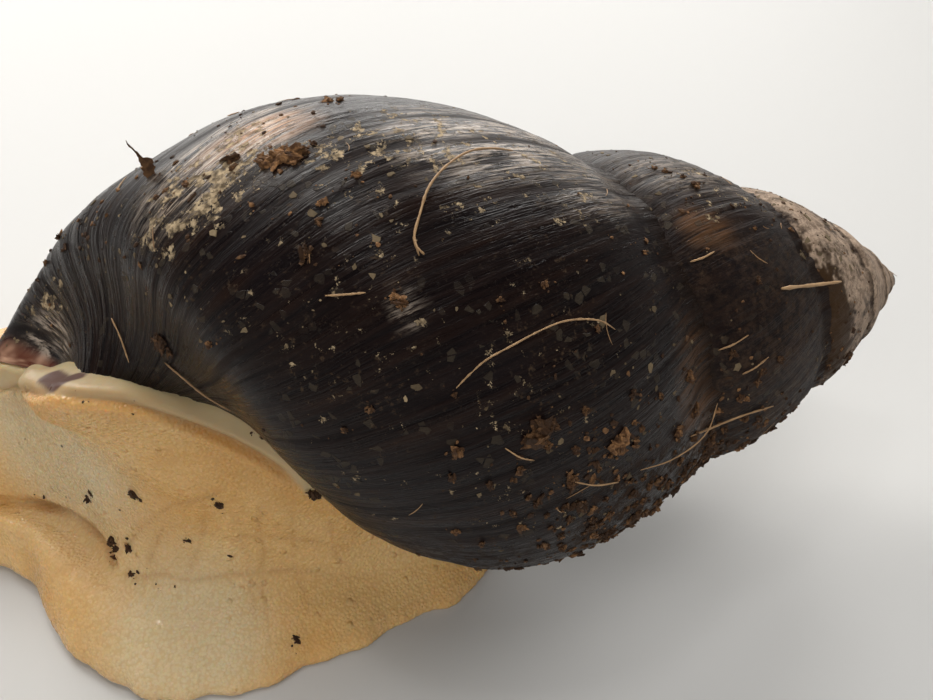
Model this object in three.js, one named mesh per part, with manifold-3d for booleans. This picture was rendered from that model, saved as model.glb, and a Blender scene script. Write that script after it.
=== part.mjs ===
import * as THREE from 'three';
import { mergeVertices } from 'three/addons/utils/BufferGeometryUtils.js';
import Module from 'manifold-3d';

// Giant african land snail crawling on a floor, whole animal with its shell, life size.
// Millimetres, +Z up, floor at Z = 0, head towards -X, the animal's left side towards -Y.

// ---- general sizes -----------------------------------------------------------------
const partGap = 0.3;
const sliverSize = 0.03;
const floorLevel = 0;

// ---- shell: one value per whorl, nucleus first, lip last -----------------------------
const sutureRadii = [0.68, 1.48, 3.04, 5.8, 9.79, 15.07, 20.85];
const sutureDepths = [1.38, 2.45, 4.28, 7.45, 13.99, 26.81, 50.14];
const whorlsAboveLip = sutureRadii.length - 1;
const nucleusGrowth = 0.75;
const nucleusRadius = 1;
const shoulderSlope = 54.1;
const peripheryLean = 23.5;
const shoulderFullness = 0.53;
const peripheryFullness = 0.166;
const baseFullness = 0.641;
const pillarFullness = 0.515;
const lipBaseFullness = 1.243;
const lipPillarFullness = 0.72;
const lipFlareFade = 7;
const lipBaseSlope = -5.6;
const earlyBaseSlope = 40.7;
const pillarEndDepth = 99.9;
const pillarRise = 28.3;
const pillarSettle = 0.07;
const pillarRadius = 1.2;
const lipWall = 1.2;
const lipGapTurn = 0.004;
const apertureReach = 0.13;
const coreRadius = 0.12;
const sutureTuck = 0.985;
const spireInnerSlope = 0.12;
const mouthBaseDrop = 0.5;
const pillarTipRadius = 0.35;
const pillarCoreRadius = 1.3;
const pillarFullDepth = 84;
const pillarSides = 14;
const stepsPerWhorl = 20;
const shoulderSteps = 6;
const baseSteps = 8;

// ---- how the shell is carried --------------------------------------------------------
const apexPlace = new THREE.Vector3(47.74, 15.24, 27.92);
const shellYaw = 16.84;
const shellPitch = -2.82;
const lipDip = 16.85;

// ---- flesh: pairs of [distance along the body, size] ----------------------------------
const footFrontX = -114;
const tailX = -3;
const snoutRound = 9;
const tailRound = 8;
const spineY = [[-117, 6], [-85, 7.5], [-66, 8], [-50, 2], [-38, -2], [-20, -4], [-3, -3]];
const leftReach = [[-117, 13], [-90, 15.5], [-66, 17.7], [-61, 20.5], [-56, 24.5], [-47, 27.2],
  [-38, 25.8], [-24, 19], [-12, 12.6], [-3, 10]];
const rightReach = [[-117, 13], [-90, 15.5], [-62, 18], [-45, 22], [-30, 21], [-18, 15.5], [-3, 9]];
const edgeHeight = [[-117, 2.2], [-80, 3.8], [-64, 4.6], [-57, 4.4], [-48, 2.8], [-36, 1.9], [-3, 1.2]];
const lobeHeight = [[-117, 4], [-80, 6], [-64, 7.4], [-56, 7.2], [-46, 5.6], [-36, 4.6], [-20, 3.4], [-3, 2]];
const grooveReach = [[-117, 8], [-90, 10], [-66, 12], [-54, 12.6], [-48, 15.4], [-34, 13.4], [-20, 10],
  [-3, 5]];
const grooveHeight = [[-117, 5], [-80, 5.6], [-66, 6.6], [-52, 7.2], [-42, 8], [-26, 6.6], [-12, 4.8],
  [-3, 2.6]];
const leftWall = [[-117, 7], [-100, 8.6], [-80, 8.6], [-66, 8.4], [-55, 11.4], [-45, 12.4], [-32, 11.6],
  [-20, 8.8], [-3, 4]];
const rightWall = [[-117, 7], [-100, 8.6], [-80, 9], [-66, 11], [-52, 16], [-40, 18.6], [-28, 16],
  [-16, 10], [-3, 4]];
const wallHeight = [[-117, 7.2], [-100, 10], [-85, 11], [-66, 14], [-55, 17], [-45, 18.6], [-32, 14.4],
  [-20, 9], [-3, 3]];
const leftShoulder = [[-117, 4.6], [-100, 6.6], [-85, 6.4], [-66, 5.6], [-55, 10], [-45, 12.6], [-35, 11],
  [-25, 9.4], [-15, 6], [-3, 2.6]];
const rightShoulder = [[-117, 4.6], [-100, 6.6], [-85, 6.6], [-66, 7.4], [-54, 8.6], [-45, 11.4],
  [-35, 12.4], [-28, 12], [-14, 7], [-3, 2.6]];
const leftShoulderHeight = [[-117, 9.4], [-105, 13.6], [-85, 15.4], [-66, 21], [-55, 27.5], [-45, 31],
  [-35, 28], [-25, 21], [-15, 10.8], [-3, 3.3]];
const rightShoulderHeight = [[-117, 9.4], [-105, 13.6], [-85, 15.4], [-66, 20], [-54, 22.6], [-45, 22],
  [-35, 20], [-28, 17.5], [-15, 10], [-3, 3.3]];
const backHeight = [[-117, 10.4], [-105, 15.4], [-85, 17.6], [-66, 22.8], [-56, 28.4], [-47, 34.6], [-36, 34],
  [-26, 27], [-16, 15], [-3, 3.6]];
const bodyStations = 25;
const sideSamples = 14;
const soleInset = 0.8;
const endHeight = 0.35;
const endWidth = 0.12;
const endSteps = 6;
const marginRipples = [[0.35, 0.55, 0], [0.2, 1.27, 1.1]];

// ---- mantle collar: a fleshy ring round the mouth of the shell --------------------------
const collarRadius = 2.3;
const collarSides = 8;
const collarSteps = 28;
const collarDrop = 0.03;
const collarTurn = 0.012;
const plugOverlap = 0.02;
const plugInset = 0.7;
// [distance from the shell's axis, depth below the apex], from the suture round to the pillar.
const collarInLip = [[20.6, 54.5], [26, 64], [28.2, 77], [26.6, 91], [22, 101], [15.5, 105.6], [8, 104.6],
  [3.4, 103]];
// Places on the left side and under the shell, from the pillar back to the suture.
const collarOverShell = [[-48.6, -14.4, 34.2], [-44.5, -15, 34], [-39.5, -14.2, 32.8],
  [-34, -12.2, 30.6], [-28.5, -12, 27.8], [-23.3, -12.1, 22.3], [-19.2, -9.8, 16], [-16.2, -6, 12.6],
  [-12.4, 1.5, 11.4], [-8.6, 10.5, 15]];

// ---- head ------------------------------------------------------------------------------
const headSplitX = -97;
const trunkSplitX = -63;
const tailSplitX = -22;
const headFootZ = 5.4;
const neckFootZ = 7.6;
const trunkFootZ = 8.4;
const headCentre = new THREE.Vector3(-108.5, 6.4, 11);
const headRadii = new THREE.Vector3(9.4, 8.4, 6.4);
const headSides = 16;
// Radii are pairs of [share of the length, radius].
const eyeStalkLength = 23;
const eyeStalkRoot = new THREE.Vector3(1, 3.6, 3);
const eyeStalkLean = new THREE.Vector3(-0.6, 0.42, 0.68);
const eyeStalkBow = new THREE.Vector3(-1.2, 0.3, 0.5);
const eyeStalkRadii = [[0, 2.3], [0.3, 1.7], [0.78, 1.15], [0.93, 1.75], [1, 0.9]];
const eyeShare = 0.955;
const eyeOffset = new THREE.Vector3(-0.75, 0.5, 0.75);
const eyeRadius = 0.95;
const feelerLength = 9.5;
const feelerRoot = new THREE.Vector3(-4.5, 4.2, -1.8);
const feelerLean = new THREE.Vector3(-0.8, 0.45, -0.12);
const feelerBow = new THREE.Vector3(0, 0, 0.4);
const feelerRadii = [[0, 1.5], [0.8, 0.95], [0.93, 1.1], [1, 0.6]];
const lappetPlace = new THREE.Vector3(-7.4, 2.5, -3.3);
const lappetRadius = 2.1;
const lappetHeight = 2.3;

const wasm = await Module();
wasm.setup();

const DEG = Math.PI / 180;

// Smooth curve through [place, value] pairs that never overshoots them.
function smoothTable(table, place) {
  const last = table.length - 1;
  if (place <= table[0][0]) {
    return table[0][1];
  }
  if (place >= table[last][0]) {
    return table[last][1];
  }
  let k = 0;
  while (place > table[k + 1][0]) {
    k += 1;
  }
  const slope = (i) => (table[i + 1][1] - table[i][1]) / (table[i + 1][0] - table[i][0]);
  const tangent = (i) => {
    if (i === 0) {
      return slope(0);
    }
    if (i === last) {
      return slope(last - 1);
    }
    const before = slope(i - 1);
    const after = slope(i);
    return before * after <= 0 ? 0 : (2 * before * after) / (before + after);
  };
  const width = table[k + 1][0] - table[k][0];
  const s = (place - table[k][0]) / width;
  const h00 = (1 + 2 * s) * (1 - s) ** 2;
  const h10 = s * (1 - s) ** 2;
  const h01 = s * s * (3 - 2 * s);
  const h11 = s * s * (s - 1);
  return h00 * table[k][1] + h10 * width * tangent(k) + h01 * table[k + 1][1] + h11 * width * tangent(k + 1);
}

function setCorners(geometry, points, faces) {
  const corners = points.flatMap((p) => p.toArray());
  geometry.setAttribute('position', new THREE.Float32BufferAttribute(corners, 3));
  geometry.setIndex(faces.flat());
}

// Closed body through rings of points. An end is capped from its middle, or, where its flat
// outline is given, by cutting that outline into triangles.
function skinRings(rings, outlines = []) {
  const count = rings[0].length;
  const points = rings.flat();
  const faces = [];
  for (let i = 0; i + 1 < rings.length; i += 1) {
    for (let j = 0; j < count; j += 1) {
      const a = i * count + j;
      const b = i * count + ((j + 1) % count);
      faces.push([a, b, b + count], [a, b + count, a + count]);
    }
  }
  for (const end of [0, rings.length - 1]) {
    const first = end * count;
    const outline = outlines[end === 0 ? 0 : 1];
    let cap = [];
    if (outline) {
      const clockwise = THREE.ShapeUtils.area(outline) < 0;
      cap = THREE.ShapeUtils.triangulateShape(outline, []).map((t) => t.map((k) => first + k));
      cap = clockwise ? cap.map(([a, b, c]) => [a, c, b]) : cap;
    } else {
      const middle = rings[end].reduce((sum, p) => sum.add(p), new THREE.Vector3()).divideScalar(count);
      points.push(middle);
      for (let j = 0; j < count; j += 1) {
        cap.push([first + j, first + ((j + 1) % count), points.length - 1]);
      }
    }
    faces.push(...(end === 0 ? cap.map(([a, b, c]) => [a, c, b]) : cap));
  }
  const geometry = new THREE.BufferGeometry();
  setCorners(geometry, points, faces);
  return geometry;
}

function enclosedVolume(positions, indices) {
  let six = 0;
  const a = new THREE.Vector3();
  const b = new THREE.Vector3();
  const c = new THREE.Vector3();
  for (let i = 0; i < indices.length; i += 3) {
    a.fromArray(positions, indices[i] * 3);
    b.fromArray(positions, indices[i + 1] * 3);
    c.fromArray(positions, indices[i + 2] * 3);
    six += a.dot(b.clone().cross(c));
  }
  return six / 6;
}

function solidOf(geometry) {
  const vertProperties = Float32Array.from(geometry.attributes.position.array);
  const triVerts = Uint32Array.from(geometry.index.array);
  if (enclosedVolume(vertProperties, triVerts) < 0) {
    for (let i = 0; i < triVerts.length; i += 3) {
      [triVerts[i + 1], triVerts[i + 2]] = [triVerts[i + 2], triVerts[i + 1]];
    }
  }
  return new wasm.Manifold(new wasm.Mesh({ numProp: 3, vertProperties, triVerts }));
}

function boxSolid(minCorner, maxCorner) {
  const size = new THREE.Vector3().subVectors(maxCorner, minCorner);
  const ring = (x) => [
    new THREE.Vector3(x, minCorner.y, minCorner.z),
    new THREE.Vector3(x, minCorner.y + size.y, minCorner.z),
    new THREE.Vector3(x, minCorner.y + size.y, minCorner.z + size.z),
    new THREE.Vector3(x, minCorner.y, minCorner.z + size.z),
  ];
  return solidOf(skinRings([ring(minCorner.x), ring(maxCorner.x)]));
}

function largestPiece(solid) {
  return solid.decompose().sort((a, b) => b.volume() - a.volume())[0];
}

// ---- shell ----------------------------------------------------------------------------
const yaw = shellYaw * DEG;
const pitch = shellPitch * DEG;
const axisToApex = new THREE.Vector3(
  Math.cos(yaw) * Math.cos(pitch),
  Math.sin(yaw) * Math.cos(pitch),
  Math.sin(pitch),
);
const sideways = new THREE.Vector3(-Math.sin(yaw), Math.cos(yaw), 0);
const upward = new THREE.Vector3().crossVectors(axisToApex, sideways);

const logRadii = sutureRadii.map((r, i) => [i - whorlsAboveLip, Math.log(r)]);
const logDepths = sutureDepths.map((d, i) => [i - whorlsAboveLip, Math.log(d)]);

function alongSuture(table, turn) {
  const last = table.length - 1;
  if (turn > 0) {
    return Math.exp(table[last][1] + (table[last][1] - table[last - 1][1]) * turn);
  }
  const nucleus = nucleusGrowth * Math.min(turn + whorlsAboveLip, 0);
  return Math.exp(smoothTable(table, Math.max(turn, -whorlsAboveLip)) + nucleus);
}

function suturePoint(turn) {
  return new THREE.Vector2(alongSuture(logRadii, turn), alongSuture(logDepths, turn));
}

// Depth at which the base of the whorl meets the pillar: level near the lip, higher behind it.
function pillarDepth(turn) {
  const rise = THREE.MathUtils.smoothstep(-turn, pillarSettle, 1);
  return pillarEndDepth - pillarRise * rise - pillarRise * Math.max(-turn - 1, 0);
}

// Outline of a whorl from its upper suture over the shoulder to the next suture and the pillar.
// x is the distance from the axis, y the depth below the apex.
function whorlOutline(turn, topPoints, basePoints) {
  const upper = suturePoint(turn);
  const lower = suturePoint(turn + 1);
  const span = upper.distanceTo(lower);
  const shoulder = new THREE.Vector2(Math.cos(shoulderSlope * DEG), Math.sin(shoulderSlope * DEG));
  const periphery = new THREE.Vector2(-Math.sin(peripheryLean * DEG), Math.cos(peripheryLean * DEG));
  const top = new THREE.CubicBezierCurve(
    upper,
    upper.clone().addScaledVector(shoulder, shoulderFullness * span),
    lower.clone().addScaledVector(periphery, -peripheryFullness * span),
    lower,
  );
  const flare = Math.exp(Math.min(turn, 0) * lipFlareFade);
  const pillar = new THREE.Vector2(pillarRadius, pillarDepth(turn));
  const baseSpan = lower.distanceTo(pillar);
  const slope = (lipBaseSlope * flare + earlyBaseSlope * (1 - flare)) * DEG;
  const inward = new THREE.Vector2(-Math.cos(slope), Math.sin(slope));
  const basePull = lipBaseFullness * flare + baseFullness * (1 - flare);
  const pillarPull = lipPillarFullness * flare + pillarFullness * (1 - flare);
  const base = new THREE.CubicBezierCurve(
    lower,
    lower.clone().addScaledVector(periphery, basePull * baseSpan),
    pillar.clone().addScaledVector(inward, -pillarPull * baseSpan),
    pillar,
  );
  const outline = top.getPoints(topPoints);
  if (basePoints > 0) {
    outline.push(...base.getPoints(basePoints).slice(1));
  }
  return outline;
}

function shiftOutline(outline, outward) {
  return outline.map((p, i) => {
    const before = outline[Math.max(i - 1, 0)];
    const after = outline[Math.min(i + 1, outline.length - 1)];
    const along = new THREE.Vector2().subVectors(after, before).normalize();
    return new THREE.Vector2(Math.max(p.x + along.y * outward, 0.1), p.y - along.x * outward);
  });
}

function shellPlace(turn, radius, depth) {
  const angle = -lipDip * DEG - 2 * Math.PI * turn;
  return apexPlace.clone()
    .addScaledVector(axisToApex, -depth)
    .addScaledVector(sideways, radius * Math.cos(angle))
    .addScaledVector(upward, radius * Math.sin(angle));
}

function sweepOutline(fromTurn, toTurn, steps, outlineAt) {
  const rings = [];
  const outlines = [];
  for (let i = 0; i <= steps; i += 1) {
    const turn = fromTurn + (toTurn - fromTurn) * (i / steps);
    const outline = outlineAt(turn);
    outlines.push(outline);
    rings.push(outline.map((p) => shellPlace(turn, p.x, p.y)));
  }
  return solidOf(skinRings(rings, [outlines[0], outlines[steps]]));
}

function lastWhorlOutline(outward) {
  return (turn) => {
    const outline = shiftOutline(whorlOutline(turn, shoulderSteps, baseSteps), outward);
    const first = outline[0];
    const last = outline[outline.length - 1];
    const tuck = new THREE.Vector2(first.x * sutureTuck, first.y);
    const inner = new THREE.Vector2(coreRadius, last.y);
    return [new THREE.Vector2(coreRadius, first.y), tuck, ...outline.slice(1), inner];
  };
}

function spireOutline(outward, steps) {
  return (turn) => {
    const outline = shiftOutline(whorlOutline(turn, steps, 0), outward);
    const first = outline[0];
    const last = outline[outline.length - 1];
    const tuck = new THREE.Vector2(first.x * sutureTuck, first.y);
    const inner = new THREE.Vector2(coreRadius, last.y + last.x * spireInnerSlope);
    return [new THREE.Vector2(coreRadius, first.y), tuck, ...outline.slice(1), inner];
  };
}

// Space inside the mouth of the shell, between the outer wall and the pillar.
function mouthOutline(inset, pillarGap) {
  return (turn) => {
    const inner = shiftOutline(whorlOutline(turn, shoulderSteps, baseSteps), -inset);
    const clear = inner.map((p) => new THREE.Vector2(Math.max(p.x, pillarRadius + pillarGap), p.y));
    const first = clear[0];
    const last = clear[clear.length - 1];
    return [new THREE.Vector2(pillarRadius + pillarGap, first.y), ...clear.slice(1, -1),
      new THREE.Vector2(pillarRadius + pillarGap, last.y - mouthBaseDrop)];
  };
}

function buildShell(outward) {
  const lipTurn = outward > 0 ? lipGapTurn : 0;
  const mouthInset = lipWall + outward;
  const frontHalf = sweepOutline(-0.5, lipTurn, stepsPerWhorl / 2, lastWhorlOutline(outward));
  const mouth = sweepOutline(lipTurn - apertureReach, 0.07, 6, mouthOutline(mouthInset, 0.6 + outward));
  const pieces = [
    frontHalf.subtract(mouth),
    sweepOutline(-1, -0.5 + 1 / stepsPerWhorl, stepsPerWhorl / 2 + 1, lastWhorlOutline(outward)),
    sweepOutline(-1.5, -1 + 1 / stepsPerWhorl, stepsPerWhorl / 2 + 1, lastWhorlOutline(outward)),
    sweepOutline(-2, -1.5 + 1 / stepsPerWhorl, stepsPerWhorl / 2 + 1, spireOutline(outward, shoulderSteps)),
  ];
  for (let whorl = 3; whorl <= whorlsAboveLip; whorl += 1) {
    const steps = whorl < 5 ? 8 : 6;
    pieces.push(sweepOutline(-whorl, -whorl + 0.5 + 0.5 / steps, steps + 1, spireOutline(outward, 4)));
    pieces.push(sweepOutline(-whorl + 0.5, -whorl + 1 + 0.5 / steps, steps + 1, spireOutline(outward, 4)));
  }
  const nucleusDepth = sutureDepths[0] + 0.1;
  const nucleus = new THREE.SphereGeometry(nucleusRadius + outward, 12, 8);
  const nucleusPlace = shellPlace(0, 0, nucleusDepth);
  nucleus.translate(nucleusPlace.x, nucleusPlace.y, nucleusPlace.z);
  pieces.push(solidOf(welded(nucleus)));
  pieces.push(pillarSolid(outward));
  return largestPiece(pieces.reduce((joined, piece) => joined.add(piece)));
}

function pillarSolid(outward) {
  const depths = [2, 30, 60, pillarFullDepth, pillarEndDepth + outward];
  const rings = depths.map((depth) => {
    const growth = Math.min(depth / pillarFullDepth, 1);
    const radius = THREE.MathUtils.lerp(pillarTipRadius, pillarCoreRadius, growth) + outward;
    return Array.from({ length: pillarSides }, (_, i) => shellPlace(i / pillarSides, radius, depth));
  });
  return solidOf(skinRings(rings));
}

function welded(geometry) {
  geometry.deleteAttribute('normal');
  geometry.deleteAttribute('uv');
  return mergeVertices(geometry);
}

// ---- flesh ------------------------------------------------------------------------------
function noseShrink(x) {
  const fromFront = Math.min((x - footFrontX) / snoutRound, 1);
  const fromTail = Math.min((tailX - x) / tailRound, 1);
  const front = Math.sqrt(Math.max(1 - (1 - fromFront) ** 2, 0));
  const tail = Math.sqrt(Math.max(1 - (1 - fromTail) ** 2, 0));
  return Math.max(front * tail, endWidth);
}

function marginRipple(x) {
  return marginRipples.reduce((sum, [size, rate, shift]) => sum + size * Math.sin(x * rate + shift), 0);
}

// Cross-section of neck and foot: up the left side, over the back, down the right side.
function fleshSection(x, grow) {
  const narrow = noseShrink(x);
  const low = endHeight + (1 - endHeight) * narrow;
  const slant = grow * Math.SQRT1_2;
  const middle = smoothTable(spineY, x);
  const edge = smoothTable(edgeHeight, x) * low;
  const side = (sign, reachTable, wallTable, shoulderTable, shoulderRise) => {
    const reach = (smoothTable(reachTable, x) + marginRipple(x)) * narrow;
    const groove = smoothTable(grooveReach, x) * narrow;
    const spots = [
      [reach - soleInset * narrow, floorLevel],
      [reach + grow, edge * 0.42],
      [reach - edge * 0.35 * narrow + slant, edge + slant],
      [(reach + groove) / 2, smoothTable(lobeHeight, x) * low + grow],
      [groove + grow * 0.5, smoothTable(grooveHeight, x) * low + grow],
      [smoothTable(wallTable, x) * narrow + grow, smoothTable(wallHeight, x) * low],
      [smoothTable(shoulderTable, x) * narrow + slant, smoothTable(shoulderRise, x) * low + slant],
    ];
    return spots.map(([reachOut, height]) => new THREE.Vector3(x, middle + sign * reachOut, height));
  };
  const left = side(-1, leftReach, leftWall, leftShoulder, leftShoulderHeight);
  const right = side(1, rightReach, rightWall, rightShoulder, rightShoulderHeight);
  const crest = new THREE.Vector3(x, middle, smoothTable(backHeight, x) * low + grow);
  const round = new THREE.CatmullRomCurve3([...left, crest, ...right.reverse()], false, 'centripetal');
  return round.getPoints(2 * sideSamples).map((p) => p.setZ(Math.max(p.z, floorLevel)));
}

function fleshStations() {
  const places = [];
  for (let i = 0; i < endSteps; i += 1) {
    places.push(footFrontX + snoutRound * (1 - Math.cos((i / endSteps) * (Math.PI / 2))) + 0.05);
  }
  const from = footFrontX + snoutRound;
  const to = tailX - tailRound;
  for (let i = 0; i <= bodyStations; i += 1) {
    places.push(from + (to - from) * (i / bodyStations));
  }
  for (let i = endSteps - 1; i >= 0; i -= 1) {
    places.push(tailX - tailRound * (1 - Math.cos((i / endSteps) * (Math.PI / 2))) - 0.05);
  }
  return places;
}

function roundSolid(centre, radii, sides) {
  const ball = new THREE.SphereGeometry(1, sides, Math.round(sides * 0.7));
  ball.scale(radii.x, radii.y, radii.z);
  ball.translate(centre.x, centre.y, centre.z);
  return solidOf(welded(ball));
}

function fleshSolid(grow) {
  const rings = fleshStations().map((x) => fleshSection(x, grow));
  const loft = solidOf(skinRings(rings));
  const head = roundSolid(headCentre, headRadii.clone().addScalar(grow), headSides);
  return loft.add(head);
}

// Round bar along a path; radii are given from the start of the path to its end.
function barSolid(path, radii, steps, sides) {
  const rings = [];
  for (let i = 0; i <= steps; i += 1) {
    const s = i / steps;
    const centre = path.getPoint(s);
    const along = path.getTangent(s);
    const first = new THREE.Vector3().crossVectors(along, new THREE.Vector3(0, 1, 0)).normalize();
    const second = new THREE.Vector3().crossVectors(along, first);
    const radius = smoothTable(radii, s);
    const ring = [];
    for (let k = 0; k < sides; k += 1) {
      const angle = (2 * Math.PI * k) / sides;
      ring.push(centre.clone().addScaledVector(first, radius * Math.cos(angle))
        .addScaledVector(second, radius * Math.sin(angle)));
    }
    rings.push(ring);
  }
  return solidOf(skinRings(rings));
}

// Ring of flesh that follows the mouth of the shell, out over its wall on the left side.
function collarPath() {
  const insideLip = collarInLip.map(([radius, depth]) => shellPlace(collarTurn, radius, depth));
  const overShell = collarOverShell.map((place) => new THREE.Vector3(...place));
  return new THREE.CatmullRomCurve3([...insideLip, ...overShell], true, 'centripetal');
}

// Sheet of flesh that closes the mouth of the shell, with the thick collar as its rounded edge.
function collarSheet(radius) {
  const path = collarPath();
  const centres = path.getSpacedPoints(collarSteps).slice(0, collarSteps);
  const middle = centres.reduce((sum, p) => sum.add(p), new THREE.Vector3()).divideScalar(collarSteps);
  const points = [];
  const faces = [];
  const facing = new THREE.Vector3();
  const rim = collarSides / 2 + 1;
  const innerSide = collarSteps * rim;
  const outerSide = innerSide + 1;
  centres.forEach((centre, i) => {
    const next = (i + 1) % collarSteps;
    const behind = centres[(i + collarSteps - 1) % collarSteps];
    const along = new THREE.Vector3().subVectors(centres[next], behind).normalize();
    const outward = new THREE.Vector3().subVectors(centre, middle);
    outward.addScaledVector(along, -outward.dot(along)).normalize();
    const across = new THREE.Vector3().crossVectors(along, outward);
    facing.add(across);
    for (let k = 0; k < rim; k += 1) {
      const angle = Math.PI * (k / (rim - 1) - 0.5);
      points.push(centre.clone().addScaledVector(outward, radius * Math.cos(angle))
        .addScaledVector(across, radius * Math.sin(angle)));
      if (k + 1 < rim) {
        const a = i * rim + k;
        const c = next * rim + k;
        faces.push([a, a + 1, c + 1], [a, c + 1, c]);
      }
    }
    faces.push([innerSide, i * rim, next * rim], [outerSide, next * rim + rim - 1, i * rim + rim - 1]);
  });
  facing.normalize();
  points.push(middle.clone().addScaledVector(facing, -radius));
  points.push(middle.clone().addScaledVector(facing, radius));
  const geometry = new THREE.BufferGeometry();
  setCorners(geometry, points, faces);
  return solidOf(geometry);
}

function mantleSolid(grow) {
  const front = collarDrop + (grow > 0 ? lipGapTurn : 0);
  const plug = sweepOutline(-apertureReach - plugOverlap, front, 7, mouthOutline(plugInset - grow, partGap));
  return plug.add(collarSheet(collarRadius + grow));
}

// The same vector on the animal's left (-1) or right (1) side.
function onSide(vector, sign) {
  return new THREE.Vector3(vector.x, vector.y * sign, vector.z);
}

function bowedPath(rootStep, lean, bow, length, sign) {
  const root = onSide(rootStep, sign).add(headCentre);
  const tip = onSide(lean, sign).normalize().multiplyScalar(length).add(root);
  const bend = root.clone().lerp(tip, 0.5).add(onSide(bow, sign));
  return new THREE.QuadraticBezierCurve3(root, bend, tip);
}

// ---- build -----------------------------------------------------------------------------
const shellColour = 0x2b1a16;
const fleshColour = 0xd9bf97;
const paleFleshColour = 0xd8cdb8;
const eyeColour = 0x15100e;
const shellRoughness = 0.45;
const mantleRoughness = 0.4;
const skinRoughness = 0.5;
const eyeRoughness = 0.2;

const shell = buildShell(0);
const shellRoom = buildShell(partGap);
const mantle = largestPiece(mantleSolid(0).subtract(shellRoom).subtract(shell));
const mantleRoom = mantleSolid(partGap);
const flesh = largestPiece(fleshSolid(0).subtract(shellRoom).subtract(shell).subtract(mantleRoom));

const wide = 200;
const between = (fromX, toX, fromZ, toZ) => boxSolid(
  new THREE.Vector3(fromX + partGap / 2, -wide, fromZ + partGap / 2),
  new THREE.Vector3(toX - partGap / 2, wide, toZ - partGap / 2),
);

const nodes = [];
function addNode(name, solid, colour, roughness) {
  nodes.push({ name, solid: solid.simplify(sliverSize), colour, roughness });
}

addNode('shell', shell, shellColour, shellRoughness);
addNode('mantle', mantle, paleFleshColour, mantleRoughness);
const neck = flesh.intersect(between(headSplitX, trunkSplitX, neckFootZ, wide));
const trunk = flesh.intersect(between(trunkSplitX, tailSplitX, trunkFootZ, wide));
const tail = flesh.intersect(between(tailSplitX, wide, -wide, wide));
const footMiddle = flesh.intersect(between(trunkSplitX, tailSplitX, -wide, trunkFootZ));
const footFront = flesh.intersect(between(headSplitX, trunkSplitX, -wide, neckFootZ))
  .add(flesh.intersect(between(-wide, headSplitX + partGap * 2, -wide, headFootZ)));
addNode('neck', largestPiece(neck), fleshColour, skinRoughness);
addNode('trunk', largestPiece(trunk), fleshColour, skinRoughness);
addNode('tail', largestPiece(tail), fleshColour, skinRoughness);
addNode('foot_middle', largestPiece(footMiddle), fleshColour, skinRoughness);
addNode('foot_front', largestPiece(footFront), fleshColour, skinRoughness);

let head = flesh.intersect(between(-wide, headSplitX, headFootZ, wide));
const headRoom = fleshSolid(partGap);
for (const [side, sign] of [['left', -1], ['right', 1]]) {
  const stalkPath = bowedPath(eyeStalkRoot, eyeStalkLean, eyeStalkBow, eyeStalkLength, sign);
  const eyePlace = stalkPath.getPoint(eyeShare).add(onSide(eyeOffset, sign));
  const eyeRoom = roundSolid(eyePlace, new THREE.Vector3().setScalar(eyeRadius + partGap), 12);
  const stalk = barSolid(stalkPath, eyeStalkRadii, 13, 12).subtract(headRoom).subtract(eyeRoom);
  addNode(`eye_stalk_${side}`, largestPiece(stalk), fleshColour, skinRoughness);
  const eye = roundSolid(eyePlace, new THREE.Vector3().setScalar(eyeRadius), 12);
  addNode(`eye_${side}`, eye, eyeColour, eyeRoughness);
  const feelerPath = bowedPath(feelerRoot, feelerLean, feelerBow, feelerLength, sign);
  const feeler = barSolid(feelerPath, feelerRadii, 8, 10).subtract(headRoom);
  addNode(`feeler_${side}`, largestPiece(feeler), fleshColour, skinRoughness);
  const lipPlace = onSide(lappetPlace, sign).add(headCentre);
  const lip = roundSolid(lipPlace, new THREE.Vector3(lappetRadius, lappetRadius, lappetHeight), 14);
  addNode(`lip_${side}`, lip, fleshColour, skinRoughness);
  head = head.subtract(roundSolid(lipPlace, new THREE.Vector3().setScalar(lappetHeight + partGap), 14));
}
addNode('head', largestPiece(head), fleshColour, skinRoughness);

// The origin goes under the middle of the whole animal.
const bounds = new THREE.Box3();
for (const { solid } of nodes) {
  const { min, max } = solid.boundingBox();
  bounds.expandByPoint(new THREE.Vector3(...min)).expandByPoint(new THREE.Vector3(...max));
}
const middle = bounds.getCenter(new THREE.Vector3());

const snail = new THREE.Group();
snail.name = 'giant_land_snail';
for (const { name, solid, colour, roughness } of nodes) {
  const { vertProperties, triVerts, numProp } = solid.getMesh();
  const positions = new Float32Array((vertProperties.length / numProp) * 3);
  for (let i = 0; i < positions.length / 3; i += 1) {
    positions[i * 3] = vertProperties[i * numProp] - middle.x;
    positions[i * 3 + 1] = vertProperties[i * numProp + 1] - middle.y;
    positions[i * 3 + 2] = vertProperties[i * numProp + 2] - bounds.min.z;
  }
  const geometry = new THREE.BufferGeometry();
  geometry.setAttribute('position', new THREE.BufferAttribute(positions, 3));
  geometry.setIndex(new THREE.BufferAttribute(Uint32Array.from(triVerts), 1));
  geometry.computeVertexNormals();
  const mesh = new THREE.Mesh(geometry, new THREE.MeshStandardMaterial({ color: colour, roughness }));
  mesh.name = name;
  snail.add(mesh);
}

export default snail;
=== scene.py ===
"""Looks of the giant african land snail: shell, one moist skin, eyes, stuck soil and fibres.

Shapes are worked out in millimetres in the animal's own layout (floor at 0, head towards -X,
left side towards -Y) and turned into metres by place().
"""
import math

import bmesh
import bpy
import numpy as np
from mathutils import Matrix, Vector
from mathutils.bvhtree import BVHTree


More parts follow.
